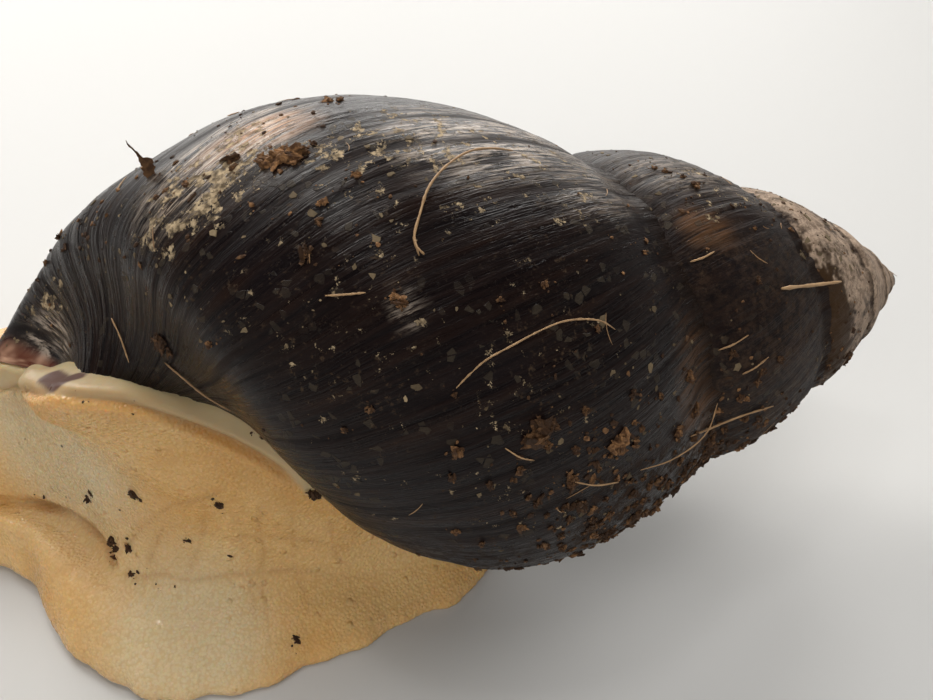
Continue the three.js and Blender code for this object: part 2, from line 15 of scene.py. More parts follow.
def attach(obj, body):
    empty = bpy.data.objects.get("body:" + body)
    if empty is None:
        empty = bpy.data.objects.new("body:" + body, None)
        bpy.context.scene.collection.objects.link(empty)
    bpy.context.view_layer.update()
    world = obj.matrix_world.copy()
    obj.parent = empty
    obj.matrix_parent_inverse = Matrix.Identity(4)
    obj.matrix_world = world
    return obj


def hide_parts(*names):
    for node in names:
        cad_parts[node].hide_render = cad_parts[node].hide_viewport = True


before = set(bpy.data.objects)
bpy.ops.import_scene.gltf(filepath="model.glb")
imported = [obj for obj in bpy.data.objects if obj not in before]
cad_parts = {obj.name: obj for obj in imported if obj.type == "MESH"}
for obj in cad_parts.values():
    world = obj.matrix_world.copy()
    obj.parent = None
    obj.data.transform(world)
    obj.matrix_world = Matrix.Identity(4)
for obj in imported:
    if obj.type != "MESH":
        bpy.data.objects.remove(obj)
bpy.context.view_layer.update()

# ---- layout ------------------------------------------------------------------------------
LAYOUT_MIDDLE = np.array([-37.5824, -0.9668, 0.0])
CAMERA_PLACE = np.array([-7.6, -85.42, 106.17])
CAMERA_TILT = 48.0
CAMERA_WIDTH = 50.0
PICTURE_MIDDLE = (466.5, 350)
MM = 0.001


def place(points):
    """Millimetres in the animal's layout to metres in the frame."""
    return (np.asarray(points, float) - LAYOUT_MIDDLE) * MM


def layout(points):
    """Metres in the frame to millimetres in the animal's layout."""
    return np.asarray(points, float) * 1000 + LAYOUT_MIDDLE


def unit(vectors):
    """Vectors, one a row, at length 1."""
    return vectors / np.linalg.norm(vectors, axis=-1)[..., None]


def grid(rows, columns):
    return np.meshgrid(rows, columns, indexing="ij")


# ---- noise ---------------------------------------------------------------------------------
def lattice(ix, iy, iz, seed):
    h = (ix * 73856093) ^ (iy * 19349663) ^ (iz * 83492791) ^ (seed * 40503 + 9176)
    h &= 0xFFFFFFFF
    h = ((h ^ (h >> 15)) * 73244475) & 0xFFFFFFFF
    h = ((h ^ (h >> 13)) * 73244475) & 0xFFFFFFFF
    return (h ^ (h >> 16)) / 4294967295.0 * 2 - 1


def noise(x, y, z, seed):
    """Smooth noise from -1 to 1 at the places x, y, z."""
    x, y, z = np.broadcast_arrays(np.asarray(x, float), np.asarray(y, float), np.asarray(z, float))
    fx, fy, fz = np.floor(x), np.floor(y), np.floor(z)
    ix, iy, iz = fx.astype(np.int64), fy.astype(np.int64), fz.astype(np.int64)
    sx, sy, sz = x - fx, y - fy, z - fz
    sx, sy, sz = (s * s * (3 - 2 * s) for s in (sx, sy, sz))
    total = 0.0
    for cx, wx in ((0, 1 - sx), (1, sx)):
        for cy, wy in ((0, 1 - sy), (1, sy)):
            for cz, wz in ((0, 1 - sz), (1, sz)):
                total = total + wx * wy * wz * lattice(ix + cx, iy + cy, iz + cz, seed)
    return total


def noise_at(points, seed):
    return noise(points[..., 0], points[..., 1], points[..., 2], seed)


def cloud(points, size, seed, octaves=3):
    """Layered noise over points, with its largest features of the given size."""
    total, reach, top = 0.0, 1.0, 0.0
    for k in range(octaves):
        total = total + reach * noise_at(points * (2 ** k / size), seed + k)
        top += reach
        reach *= 0.5
    return total / top


def smoothstep(x, low, high):
    s = np.clip((np.asarray(x, float) - low) / (high - low), 0, 1)
    return s * s * (3 - 2 * s)


def smooth_table(table, x):
    """Smooth curve through (place, value) pairs that never overshoots them."""
    pairs = np.array(table, float)
    xs, ys = pairs[:, 0], pairs[:, 1]
    slope = np.diff(ys) / np.diff(xs)
    tangent = np.empty(len(xs))
    tangent[0], tangent[-1] = slope[0], slope[-1]
    product = slope[:-1] * slope[1:]
    level = product <= 0
    tangent[1:-1] = np.where(level, 0, 2 * product / np.where(level, 1, slope[:-1] + slope[1:]))
    x = np.clip(np.asarray(x, float), xs[0], xs[-1])
    k = np.clip(np.searchsorted(xs, x, side="right") - 1, 0, len(xs) - 2)
    width = xs[k + 1] - xs[k]
    s = (x - xs[k]) / width
    return ((1 + 2 * s) * (1 - s) ** 2 * ys[k] + s * (1 - s) ** 2 * width * tangent[k]
            + s * s * (3 - 2 * s) * ys[k + 1] + s * s * (s - 1) * width * tangent[k + 1])


# ---- meshes --------------------------------------------------------------------------------
def new_object(name, points_mm, faces, smooth=True):
    mesh = bpy.data.meshes.new(name)
    mesh.from_pydata(place(points_mm).tolist(), [], faces)
    mesh.polygons.foreach_set("use_smooth", [smooth] * len(mesh.polygons))
    mesh.update()
    piece = bpy.data.objects.new(name, mesh)
    bpy.context.scene.collection.objects.link(piece)
    return piece


def set_value(piece, name, values):
    data = piece.data.attributes.new(name, "FLOAT", "POINT").data
    data.foreach_set("value", np.ascontiguousarray(values, np.float32).ravel())


def set_vector(piece, name, values):
    data = piece.data.attributes.new(name, "FLOAT_VECTOR", "POINT").data
    data.foreach_set("vector", np.ascontiguousarray(values, np.float32).ravel())


def face_outward(piece, weld=0.0):
    """Turns the faces outward, after joining points closer than weld, in metres."""
    work = bmesh.new()
    work.from_mesh(piece.data)
    if weld:
        bmesh.ops.remove_doubles(work, verts=work.verts, dist=weld)
    bmesh.ops.recalc_face_normals(work, faces=work.faces)
    work.to_mesh(piece.data)
    work.free()


def unit_ball(subdivisions):
    work = bmesh.new()
    bmesh.ops.create_icosphere(work, subdivisions=subdivisions, radius=1.0)
    points = np.array([v.co for v in work.verts])
    faces = [[v.index for v in f.verts] for f in work.faces]
    work.free()
    return points, faces


def loft_faces(rings, count):
    i, j = grid(np.arange(rings - 1), np.arange(count))
    a = i * count + j
    b = i * count + (j + 1) % count
    return np.stack([a, b, b + count, a + count], -1).reshape(-1, 4).tolist()


def capped_loft(rings, count):
    ends = [list(range(count)), list(range((rings - 1) * count, rings * count))[::-1]]
    return loft_faces(rings, count) + ends


def rings_round(path, first, second, radius, angles):
    """Rings of points round a path, turned by angles from first towards second."""
    across = first[:, None] * np.cos(angles)[None, :, None]
    up = second[:, None] * np.sin(angles)[None, :, None]
    return path[:, None] + radius[:, None, None] * (across + up)


def tube(path, radius, sides, hint):
    """Closed tube round a path, with its own radius at each step."""
    along = unit(np.gradient(path, axis=0))
    first = unit(np.cross(along, hint))
    angles = np.linspace(0, 2 * np.pi, sides, endpoint=False)
    ring = rings_round(path, first, np.cross(along, first), radius, angles)
    return ring.reshape(-1, 3), capped_loft(len(path), sides)


def grid_faces(rows, columns, start=0):
    i, j = grid(np.arange(rows - 1), np.arange(columns - 1))
    a = start + i * columns + j
    return np.stack([a, a + 1, a + columns + 1, a + columns], -1).reshape(-1, 4)


# ---- shell shape ---------------------------------------------------------------------------
# Radius and depth of the suture in mm, one pair a whorl. Depth runs down the axis from the tip, and a
# turn is 0 at the lip and -1 one whorl before it.
SUTURE_RADII = [0.68, 1.48, 3.04, 5.8, 9.79, 15.07, 20.85]
SUTURE_DEPTHS = [1.38, 2.45, 4.28, 7.45, 13.99, 26.81, 50.14]
WHORLS = len(SUTURE_RADII) - 1
APEX = np.array([47.74, 15.24, 27.92])
YAW, PITCH, LIP_DIP = (math.radians(a) for a in (16.84, -2.82, 16.85))
AXIS = np.array([math.cos(YAW) * math.cos(PITCH), math.sin(YAW) * math.cos(PITCH), math.sin(PITCH)])
SIDEWAYS = np.array([-math.sin(YAW), math.cos(YAW), 0.0])
UPWARD = np.cross(AXIS, SIDEWAYS)
# Slopes and fullness of the curves that make a whorl's outline, at the lip and before it.
SHOULDER_SLOPE, PERIPHERY_LEAN = math.radians(54.1), math.radians(23.5)
SHOULDER_FULL, PERIPHERY_FULL, BASE_FULL, PILLAR_FULL = 0.53, 0.166, 0.641, 0.515
LIP_BASE_FULL, LIP_PILLAR_FULL, LIP_FADE = 1.243, 0.72, 7.0
LIP_BASE_SLOPE, EARLY_BASE_SLOPE = math.radians(-5.6), math.radians(40.7)
# The pillar round the axis: depth of its end, rise a turn, how soon it settles, and radius.
PILLAR_END, PILLAR_RISE, PILLAR_SETTLE, PILLAR_RADIUS = 99.9, 28.3, 0.07, 1.2
# Thickness of the lip in mm, and how far the wall inside the mouth reaches back, in turns.
LIP_WALL = 1.2
MOUTH_REACH = 0.13
# How far a growth line lies behind its start, in turns, over the share of the outline.
LINE_LAG = [[0, 0], [0.215, 0.020], [0.405, 0.035], [0.624, 0.048], [0.805, 0.057], [1, 0.068],
            [1.21, 0.082], [1.35, 0.090], [1.5, 0.096], [1.93, 0.10]]
TOP_ROWS = 28
BASE_ROWS = 38
LIP_ROWS = 15
# Rows of the early whorls that run on under the whorl after them.
UNDER_SUTURE = np.array([1.0, 1.05, 1.12])
# Columns of the surface: from one turn to another, and how many.
COLUMNS = [(-WHORLS - 0.35, -4.0, 150), (-4.0, -3.0, 130), (-3.0, -2.0, 280), (-2.0, -1.0, 480),
           (-1.0, 0.0, 800)]


def along_suture(values, turn):
    logs = np.log(values)
    turn = np.asarray(turn, float)
    inside = smooth_table([[i - WHORLS, v] for i, v in enumerate(logs)], turn)
    return np.exp(inside + 0.75 * np.minimum(turn + WHORLS, 0)
                  + (logs[-1] - logs[-2]) * np.maximum(turn, 0))


def suture(turn):
    """(radius, depth) of the suture."""
    return np.stack([along_suture(SUTURE_RADII, turn), along_suture(SUTURE_DEPTHS, turn)], -1)


def pillar_depth(turn):
    return (PILLAR_END - PILLAR_RISE * smoothstep(-turn, PILLAR_SETTLE, 1)
            - PILLAR_RISE * np.maximum(-turn - 1, 0))


def bezier(p, s):
    s = s[..., None]
    return ((1 - s) ** 3 * p[0] + 3 * (1 - s) ** 2 * s * p[1]
            + 3 * (1 - s) * s ** 2 * p[2] + s ** 3 * p[3])


def whorl(turn, v):
    """(radius, depth) of the shell wall. v is 0 at the upper suture, 1 at the lower, 2 at the pillar."""
    turn, v = np.broadcast_arrays(np.asarray(turn, float), np.asarray(v, float))
    upper = suture(turn)
    lower = suture(turn + 1)
    span = np.linalg.norm(lower - upper, axis=-1)[..., None]
    shoulder = np.array([math.cos(SHOULDER_SLOPE), math.sin(SHOULDER_SLOPE)])
    periphery = np.array([-math.sin(PERIPHERY_LEAN), math.cos(PERIPHERY_LEAN)])
    top = bezier([upper, upper + shoulder * SHOULDER_FULL * span,
                  lower - periphery * PERIPHERY_FULL * span, lower], np.clip(v, 0, 1))
    flare = np.exp(np.minimum(turn, 0) * LIP_FADE)[..., None]
    pillar = np.stack([np.full(turn.shape, PILLAR_RADIUS), pillar_depth(turn)], -1)
    base_span = np.linalg.norm(pillar - lower, axis=-1)[..., None]
    slope = LIP_BASE_SLOPE * flare + EARLY_BASE_SLOPE * (1 - flare)
    inward = np.concatenate([-np.cos(slope), np.sin(slope)], -1)
    base_pull = LIP_BASE_FULL * flare + BASE_FULL * (1 - flare)
    pillar_pull = LIP_PILLAR_FULL * flare + PILLAR_FULL * (1 - flare)
    base = bezier([lower, lower + periphery * base_pull * base_span,
                   pillar - inward * pillar_pull * base_span, pillar], np.clip(v - 1, 0, 1))
    return np.where(v[..., None] <= 1, top, base)


def shell_place(turn, radius, depth):
    angle = -LIP_DIP - 2 * np.pi * np.asarray(turn, float)
    return (APEX - depth[..., None] * AXIS + (radius * np.cos(angle))[..., None] * SIDEWAYS
            + (radius * np.sin(angle))[..., None] * UPWARD)


def shell_points(turn, v):
    outline = whorl(turn, v)
    return shell_place(np.broadcast_to(turn, outline.shape[:-1]), outline[..., 0], outline[..., 1])


def shell_normals(turn, v):
    step = 1e-3
    v = np.asarray(v, float)
    inner = np.clip(v, 0, 2 - step)
    here = shell_points(turn, inner)
    across = shell_points(turn, inner + step) - here
    ahead = shell_points(turn + step, inner) - here
    normal = np.cross(ahead, across)
    return normal / (np.linalg.norm(normal, axis=-1)[..., None] + 1e-12)


def outline_share(v):
    """Distance along the whorl's outline from its upper suture, 1 at the lower suture."""
    steps = np.linspace(0, 2, 1001)
    outline = whorl(-0.5, steps)
    run = np.concatenate([[0], np.cumsum(np.linalg.norm(np.diff(outline, axis=0), axis=1))])
    return np.interp(v, steps, run / np.interp(1, steps, run))


def growth_run(turn):
    """Length of shell grown by then, in mm along the widest part of the whorl."""
    turns = np.linspace(-WHORLS - 1, 0.2, 4000)
    radii = along_suture(SUTURE_RADII, turns + 1)
    run = np.concatenate([[0], np.cumsum((radii[1:] + radii[:-1]) * np.pi * np.diff(turns))])
    return np.interp(turn, turns, run)


def line_lag(turn, v):
    """How far, in turns, a growth line lies behind its start at the upper suture."""
    return smooth_table(LINE_LAG, outline_share(v)) * (1 - np.exp(np.minimum(turn, 0) / 0.08))


def growth_at(turn, v):
    return growth_run(turn + line_lag(turn, v))


def ridged(g, w, size, seed, stretch=14.0):
    """Growth ridges of about that spacing: long along the lines, uneven across them."""
    return noise(g / size, w / stretch, seed * 1.7, seed)


def shell_relief(turn, v, g, w):
    """Height of the ridged, pitted surface over the smooth shell, in mm, and how much each place is a crest.
    """
    age = smoothstep(turn, -3.6, -1.4)
    wander = 0.45 * noise(g / 4, w / 7, 0, 3)
    fine = ridged(g + wander, w, 0.36, 11, 8)
    middle = ridged(g + wander, w, 0.68, 12, 15)
    broad = ridged(g + 1.6 * wander, w, 1.9, 13, 26)
    wave = ridged(g, w, 7.5, 14, 60)
    patch = 0.7 + 0.5 * noise(g / 10, w / 13, 0, 15)
    sharp = 1 - 2 * np.abs(middle) ** 0.8
    crest = 0.4 * sharp + 0.35 * broad + 0.25 * fine
    height = age * patch * (0.035 * fine + 0.10 * sharp + 0.15 * broad) + 0.2 * age * wave
    pits = np.minimum(cloud(np.stack([g, w, 0 * g], -1), 1.6, 17, 2) + 0.42, 0)
    return height * (1 + 0.9 * np.exp(-np.clip(v, 0, 1) / 0.07)) + age * 0.25 * pits, crest


def suture_fold(v, turn, g):
    """Groove at the foot of the suture, and the frayed edge laid over the whorl before."""
    size = np.clip(along_suture(SUTURE_RADII, turn) / 15, 0.02, 1)
    groove = -0.3 * np.exp(-(((v - 0.04) / 0.03) ** 2)) * size
    frayed = noise(g / (0.8 * size + 0.1), 0, 0, 21) * 0.6 + noise(g / (2.6 * size + 0.2), 0, 0, 22) * 0.5
    lift = np.exp(-v / 0.022) * size * (0.22 + 0.14 * frayed)
    reach = np.exp(-v / 0.03) * size * (0.25 + 0.26 * frayed)
    return groove + lift, reach


def relief_points(turn, v):
    g = growth_at(turn, v)
    w = outline_share(v) * along_suture(SUTURE_RADII, turn + 1) * 1.38
    height, crest = shell_relief(turn, v, g, w)
    fold, reach = suture_fold(np.clip(v, 0, 1), turn, g)
    points = shell_points(turn, v) + shell_normals(turn, v) * (height + fold)[..., None]
    return points + AXIS * reach[..., None], g, w, crest


class Sheets:
    """Sheets of shell surface gathered into one mesh, with growth values at each point."""

    def __init__(self):
        self.chunks, self.faces, self.count = [], [], 0

    def add(self, points, g, w, crest, turn, v):
        """Adds rows of points, and returns the number of the first one."""
        start = self.count
        self.chunks.append((points, g, w, crest, turn, v))
        self.count += points.shape[0] * points.shape[1]
        return start

    def add_outside(self, turns, v_steps):
        turn, v = grid(turns, v_steps)
        points, g, w, crest = relief_points(turn, v)
        start = self.add(points, g, w, crest, turn, v)
        self.faces.append(grid_faces(len(turns), len(v_steps), start))
        return start

    def columns(self):
        return [np.concatenate([c[k].ravel() for c in self.chunks]) for k in range(1, 6)]


def add_inner_lip(sheets, v_lip, back):
    """Wall of the mouth, from the lip's edge inward, and where its points start."""
    turn, v = grid(-MOUTH_REACH * 1.15 * back ** 1.3, v_lip)
    outer, g, w, crest = relief_points(np.zeros_like(turn), v)
    wall = LIP_WALL * np.minimum(1, 0.25 + smoothstep(back, 0, 0.12) * 0.75)[:, None]
    ragged = 0.0012 * noise(w / 2.2, 0, 0, 31) + 0.0006 * noise(w / 0.8, 0, 0, 32)
    front = 0.0035 * np.sin(np.clip(back / 0.12, 0, 1) * np.pi)[:, None] * np.ones_like(turn)
    smooth_outer = shell_points(turn + front + ragged * (1 - back[:, None]), v)
    inner = smooth_outer - shell_normals(np.minimum(turn, -0.002), v) * wall[..., None]
    inner[0] = outer[0]
    start = sheets.add(inner, g, w, crest, turn, v)
    sheets.faces.append(grid_faces(len(back), len(v_lip), start)[:, ::-1])
    return start


def add_pillar_tip(sheets, late, base_start, base_columns):
    """Closes the foot of the pillar round its axis."""
    base = sheets.chunks[2]
    tip = shell_place(late, np.full(len(late), 0.05), pillar_depth(late) + 0.35)
    start = sheets.add(tip[:, None], *(base[k][:, -1:] for k in (1, 2, 3)), late[:, None],
                       np.full((len(late), 1), 2.0))
    edge = base_start + np.arange(len(late)) * base_columns + base_columns - 1
    centre = start + np.arange(len(late))
    sheets.faces.append(np.stack([edge[:-1], centre[:-1], centre[1:], edge[1:]], -1))


def make_shell():
    spans = [np.linspace(start, end, count, endpoint=False) for start, end, count in COLUMNS]
    turns = np.concatenate(spans + [[0.0]])
    early, late = turns[turns <= -1.0 + 1e-9], turns[turns >= -1.0 - 1e-9]
    rows = np.linspace(0, 1, TOP_ROWS + 1) ** 1.35
    v_base = 1 + np.linspace(0, 1, BASE_ROWS + 1)
    back = np.linspace(0, 1, LIP_ROWS)
    sheets = Sheets()
    sheets.add_outside(turns, rows)
    sheets.add_outside(early, UNDER_SUTURE)
    base_start = sheets.add_outside(late, v_base)
    lip_start = add_inner_lip(sheets, np.concatenate([rows, v_base[1:]]), back)
    lip_end = sheets.count
    add_pillar_tip(sheets, late, base_start, len(v_base))

    points = np.concatenate([c[0].reshape(-1, 3) for c in sheets.chunks])
    piece = new_object("shell_surface", points, np.concatenate(sheets.faces)[:, ::-1].tolist())
    g, w, crest, turn, v = sheets.columns()
    inside = np.zeros(len(points))
    inside[lip_start:lip_end] = np.repeat(smoothstep(back, 0.0, 0.2), (lip_end - lip_start) // LIP_ROWS)
    set_vector(piece, "growth", np.stack([g, w, crest], -1))
    for name, values in shell_marks(turn, v, g, w).items():
        set_value(piece, name, values)
    set_value(piece, "inside", inside)
    face_outward(piece, weld=0.00001)
    return piece


# Patches on the shell: strength, whether it follows the growth lines, its place in turns and
# across the whorl, and its half width in both.
SHELL_PATCHES = {
    # worn: partly real wear, partly painted highlight on the ridge crests
    "worn": [(0.95, True, -0.19, 1.0, 0.05, 0.40), (1.0, True, -0.255, 0.34, 0.055, 0.36),
             (0.6, True, -0.29, 0.14, 0.06, 0.22), (0.5, False, -1.28, 0.45, 0.05, 0.6),
             (0.55, True, -0.341, 0.82, 0.017, 0.07), (0.85, False, -0.05, 1.70, 0.06, 0.17),
             (0.4, False, -0.78, 0.5, 0.16, 0.6)],
    # glow: painted orange light shining through the thin shell
    "glow": [(1.0, False, -0.262, 0.9, 0.026, 0.24), (0.24, False, -1.358, 0.66, 0.03, 0.24),
             (0.18, False, -0.5, 0.06, 0.09, 0.10), (0.2, False, -0.9, 0.7, 0.08, 0.4)],
    "peel": [(0.95, True, -0.205, 1.10, 0.05, 0.42), (0.7, True, -0.25, 0.6, 0.05, 0.5),
             (0.55, True, -0.30, 0.30, 0.07, 0.35), (0.8, False, -0.085, 1.58, 0.06, 0.2),
             (0.45, False, -1.3, 0.45, 0.09, 0.6), (0.28, False, -0.45, 0.8, 0.25, 0.8)],
    "soil": [(0.95, False, -0.575, 0.25, 0.075, 0.45), (0.8, False, -1.6, 0.5, 0.07, 0.7),
             (0.7, False, -2.6, 0.5, 0.08, 0.7), (0.5, False, -0.63, 0.9, 0.1, 0.5)],
}


def spot(turn, v, centre_turn, centre_v, wide_turn, wide_v):
    """1 in the middle of an oval patch on the shell, fading to 0 at its edge."""
    away = np.sqrt(((turn - centre_turn) / wide_turn) ** 2 + ((v - centre_v) / wide_v) ** 2)
    return 1 - smoothstep(away, 0.35, 1.0)


def shell_marks(turn, v, g, w):
    """Patches of wear with painted glints, painted glow, colour and soil, each from 0 to 1."""
    line = turn + line_lag(turn, v)
    marks = {}
    for name, patches in SHELL_PATCHES.items():
        spots = [strength * spot(line if follows else turn, v, *oval) for strength, follows, *oval in patches]
        marks[name] = np.maximum.reduce(spots)
    torn = 0.10 * noise(g / 1.2, w / 1.2, 0, 43) + 0.07 * noise(g / 0.45, w / 0.45, 0, 44)
    brown = (smoothstep(v + torn, 0.47, 0.56) * smoothstep(turn + 0.4 * torn, -2.64, -2.58)
             * smoothstep(-turn - 0.5 * torn, 2.34, 2.40))
    seam = np.maximum(1 - smoothstep(v, 0.01, 0.05), smoothstep(v, 0.955, 0.99) * (turn < -1) * (v < 1.2))
    marks["apex"] = smoothstep(-turn, 2.10, 2.28) * (1 - brown)
    marks["band"] = brown * smoothstep(-turn, 2.1, 2.3)
    marks["dusty"] = smoothstep(-turn, 0.9, 1.7)
    marks["seam"] = seam
    marks["soil"] = np.maximum(marks["soil"], 0.55 * seam * (0.5 + 0.5 * noise(g / 3.0, 0, 0, 41)))
    marks["lip"] = smoothstep(turn, -0.028, -0.012) * smoothstep(v, 1.38, 1.52)
    return marks


# ---- flesh shape ---------------------------------------------------------------------------
FOOT_FRONT, TAIL_END = -114.0, -3.0
FRONT_ROUND, TAIL_ROUND = 9.0, 8.0
# Tables of the body, in mm: place from head to tail, then distance from the spine or height.
SPINE_Y = [[-117, 6], [-85, 7.5], [-66, 8], [-50, 2], [-38, -2], [-20, -4], [-3, -3]]
LEFT_REACH = [[-117, 13], [-90, 15.5], [-66, 17.7], [-61, 20.5], [-56, 24.5], [-47, 27.2], [-38, 25.8],
              [-24, 19], [-12, 12.6], [-3, 10]]
RIGHT_REACH = [[-117, 13], [-90, 15.5], [-62, 18], [-45, 22], [-30, 21], [-18, 15.5], [-3, 9]]
EDGE_HEIGHT = [[-117, 2.2], [-80, 3.8], [-64, 4.6], [-57, 4.4], [-48, 2.8], [-36, 1.9], [-3, 1.2]]
LOBE_HEIGHT = [[-117, 4], [-80, 6], [-64, 7.4], [-56, 7.2], [-46, 5.6], [-36, 4.6], [-20, 3.4], [-3, 2]]
GROOVE_REACH = [[-117, 8], [-90, 10], [-66, 12], [-54, 12.6], [-48, 15.4], [-34, 13.4], [-20, 10], [-3, 5]]
GROOVE_HEIGHT = [[-117, 5], [-80, 5.6], [-66, 6.6], [-52, 7.2], [-42, 8], [-26, 6.6], [-12, 4.8], [-3, 2.6]]
LEFT_WALL = [[-117, 7], [-100, 8.6], [-80, 8.6], [-66, 8.4], [-55, 11.4], [-45, 12.4], [-32, 11.6],
             [-20, 8.8], [-3, 4]]
RIGHT_WALL = [[-117, 7], [-100, 8.6], [-80, 9], [-66, 11], [-52, 16], [-40, 18.6], [-28, 16], [-16, 10],
              [-3, 4]]
WALL_HEIGHT = [[-117, 7.2], [-100, 10], [-85, 11], [-66, 14], [-55, 17], [-45, 18.6], [-32, 14.4],
               [-20, 9], [-3, 3]]
LEFT_SHOULDER = [[-117, 4.6], [-100, 6.6], [-85, 6.4], [-66, 5.6], [-55, 10], [-45, 12.6], [-35, 11],
                 [-25, 9.4], [-15, 6], [-3, 2.6]]
RIGHT_SHOULDER = [[-117, 4.6], [-100, 6.6], [-85, 6.6], [-66, 7.4], [-54, 8.6], [-45, 11.4],
                  [-35, 12.4], [-28, 12], [-14, 7], [-3, 2.6]]
LEFT_SHOULDER_HEIGHT = [[-117, 9.4], [-105, 13.6], [-85, 15.4], [-66, 21], [-55, 27.5], [-45, 31],
                        [-35, 28], [-25, 21], [-15, 10.8], [-3, 3.3]]
RIGHT_SHOULDER_HEIGHT = [[-117, 9.4], [-105, 13.6], [-85, 15.4], [-66, 20], [-54, 22.6], [-45, 22],
                         [-35, 20], [-28, 17.5], [-15, 10], [-3, 3.3]]
BACK_HEIGHT = [[-117, 10.4], [-105, 15.4], [-85, 17.6], [-66, 22.8], [-56, 28.4], [-47, 34.6], [-36, 34],
               [-26, 27], [-16, 15], [-3, 3.6]]
SOLE_INSET = 0.8
# The head's parts in mm: their places from the middle of the head, for the animal's right side.
HEAD_CENTRE = np.array([-108.5, 6.4, 11.0])
HEAD_RADII = np.array([9.4, 8.4, 6.4])
EYE_STALK = {"root": (1, 3.6, 3), "lean": (-0.6, 0.42, 0.68), "bow": (-1.2, 0.3, 0.5), "length": 23.0,
             "radii": [[0, 2.3], [0.3, 1.7], [0.78, 1.15], [0.93, 1.75], [1, 0.9]]}
FEELER = {"root": (-4.5, 4.2, -1.8), "lean": (-0.8, 0.45, -0.12), "bow": (0, 0, 0.4), "length": 9.5,
          "radii": [[0, 1.5], [0.8, 0.95], [0.93, 1.1], [1, 0.6]]}
EYE_SHARE = 0.955
EYE_OFFSET = np.array([-0.75, 0.5, 0.75])
EYE_RADIUS = 0.95
LAPPET_PLACE = np.array([-7.4, 2.5, -3.3])
LAPPET_RADII = np.array([2.1, 2.1, 2.3])
# The collar's thickness, its turn past the lip, and the corner where it is thinner.
COLLAR_RADIUS = 2.3
COLLAR_TURN = 0.012
COLLAR_BEND = np.array([-57.7, -1.6, 27.0])
# Its (radius, depth) where it lies in the lip, then its places over the near side.
COLLAR_IN_LIP = [[20.6, 54.5], [26, 64], [28.2, 77], [26.6, 91], [21.4, 99.6], [14.8, 104.2],
                 [8, 104.2], [3.4, 103]]
COLLAR_OVER_SHELL = [[-48.6, -13.7, 34.9], [-44.5, -14.0, 35.2], [-39.5, -13.2, 34.1], [-34, -11.6, 31.5],
                     [-28.5, -12, 27.8], [-23.3, -12.1, 22.3], [-19.2, -9.8, 16], [-16.2, -6, 12.6],
                     [-12.4, 1.5, 11.4], [-8.6, 10.5, 15]]
SKIN_VOXEL = 0.48
SMOOTHING_ROUNDS = 110


def catmull(points, per_segment, closed=False):
    """Centripetal curve through points[..., k, 3], with that many samples on each segment."""
    points = np.asarray(points, float)
    if closed:
        points = np.concatenate([points[..., -1:, :], points, points[..., :2, :]], -2)
    else:
        first = 2 * points[..., :1, :] - points[..., 1:2, :]
        last = 2 * points[..., -1:, :] - points[..., -2:-1, :]
        points = np.concatenate([first, points, last], -2)
    p0, p1, p2, p3 = (points[..., k:points.shape[-2] - 3 + k, :] for k in range(4))
    d0, d1, d2 = (np.maximum(np.linalg.norm(b - a, axis=-1) ** 0.5, 1e-4)[..., None]
                  for a, b in ((p0, p1), (p1, p2), (p2, p3)))
    t1 = ((p1 - p0) / d0 - (p2 - p0) / (d0 + d1) + (p2 - p1) / d1) * d1
    t2 = ((p2 - p1) / d1 - (p3 - p1) / (d1 + d2) + (p3 - p2) / d2) * d1
    s = (np.arange(per_segment) / per_segment)[:, None]
    out = ((2 * s ** 3 - 3 * s ** 2 + 1) * p1[..., None, :] + (s ** 3 - 2 * s ** 2 + s) * t1[..., None, :]
           + (-2 * s ** 3 + 3 * s ** 2) * p2[..., None, :] + (s ** 3 - s ** 2) * t2[..., None, :])
    out = out.reshape(out.shape[:-3] + (-1, 3))
    if not closed:
        out = np.concatenate([out, points[..., -2:-1, :]], -2)
    return out


def end_shrink(x):
    """Share of the full width, less towards both rounded ends."""
    ends = ((x - FOOT_FRONT) / FRONT_ROUND, (TAIL_END - x) / TAIL_ROUND)
    front, tail = (np.sqrt(np.maximum(1 - (1 - np.minimum(away, 1)) ** 2, 0)) for away in ends)
    return np.maximum(front * tail, 0.12)


def margin_ripple(x):
    return 0.35 * np.sin(x * 0.55) + 0.2 * np.sin(x * 1.27 + 1.1)


def flesh_rings(x, per_segment):
    narrow = end_shrink(x)
    low = 0.35 + 0.65 * narrow
    middle = smooth_table(SPINE_Y, x)
    edge = smooth_table(EDGE_HEIGHT, x) * low
    groove = smooth_table(GROOVE_REACH, x) * narrow

    def side(sign, reach_table, wall_table, shoulder_table, shoulder_rise):
        reach = (smooth_table(reach_table, x) + margin_ripple(x)) * narrow
        spots = [
            (reach - SOLE_INSET * narrow, 0 * x),
            (reach, edge * 0.42),
            (reach - edge * 0.35 * narrow, edge),
            ((reach + groove) / 2, smooth_table(LOBE_HEIGHT, x) * low),
            (groove, smooth_table(GROOVE_HEIGHT, x) * low),
            (smooth_table(wall_table, x) * narrow, smooth_table(WALL_HEIGHT, x) * low),
            (smooth_table(shoulder_table, x) * narrow, smooth_table(shoulder_rise, x) * low),
        ]
        return [np.stack([x, middle + sign * out, high], -1) for out, high in spots]

    left = side(-1, LEFT_REACH, LEFT_WALL, LEFT_SHOULDER, LEFT_SHOULDER_HEIGHT)
    right = side(1, RIGHT_REACH, RIGHT_WALL, RIGHT_SHOULDER, RIGHT_SHOULDER_HEIGHT)
    crest = np.stack([x, middle, smooth_table(BACK_HEIGHT, x) * low], -1)
    ring = catmull(np.stack(left + [crest] + right[::-1], -2), per_segment)
    ring[..., 2] = np.maximum(ring[..., 2], 0)
    return ring


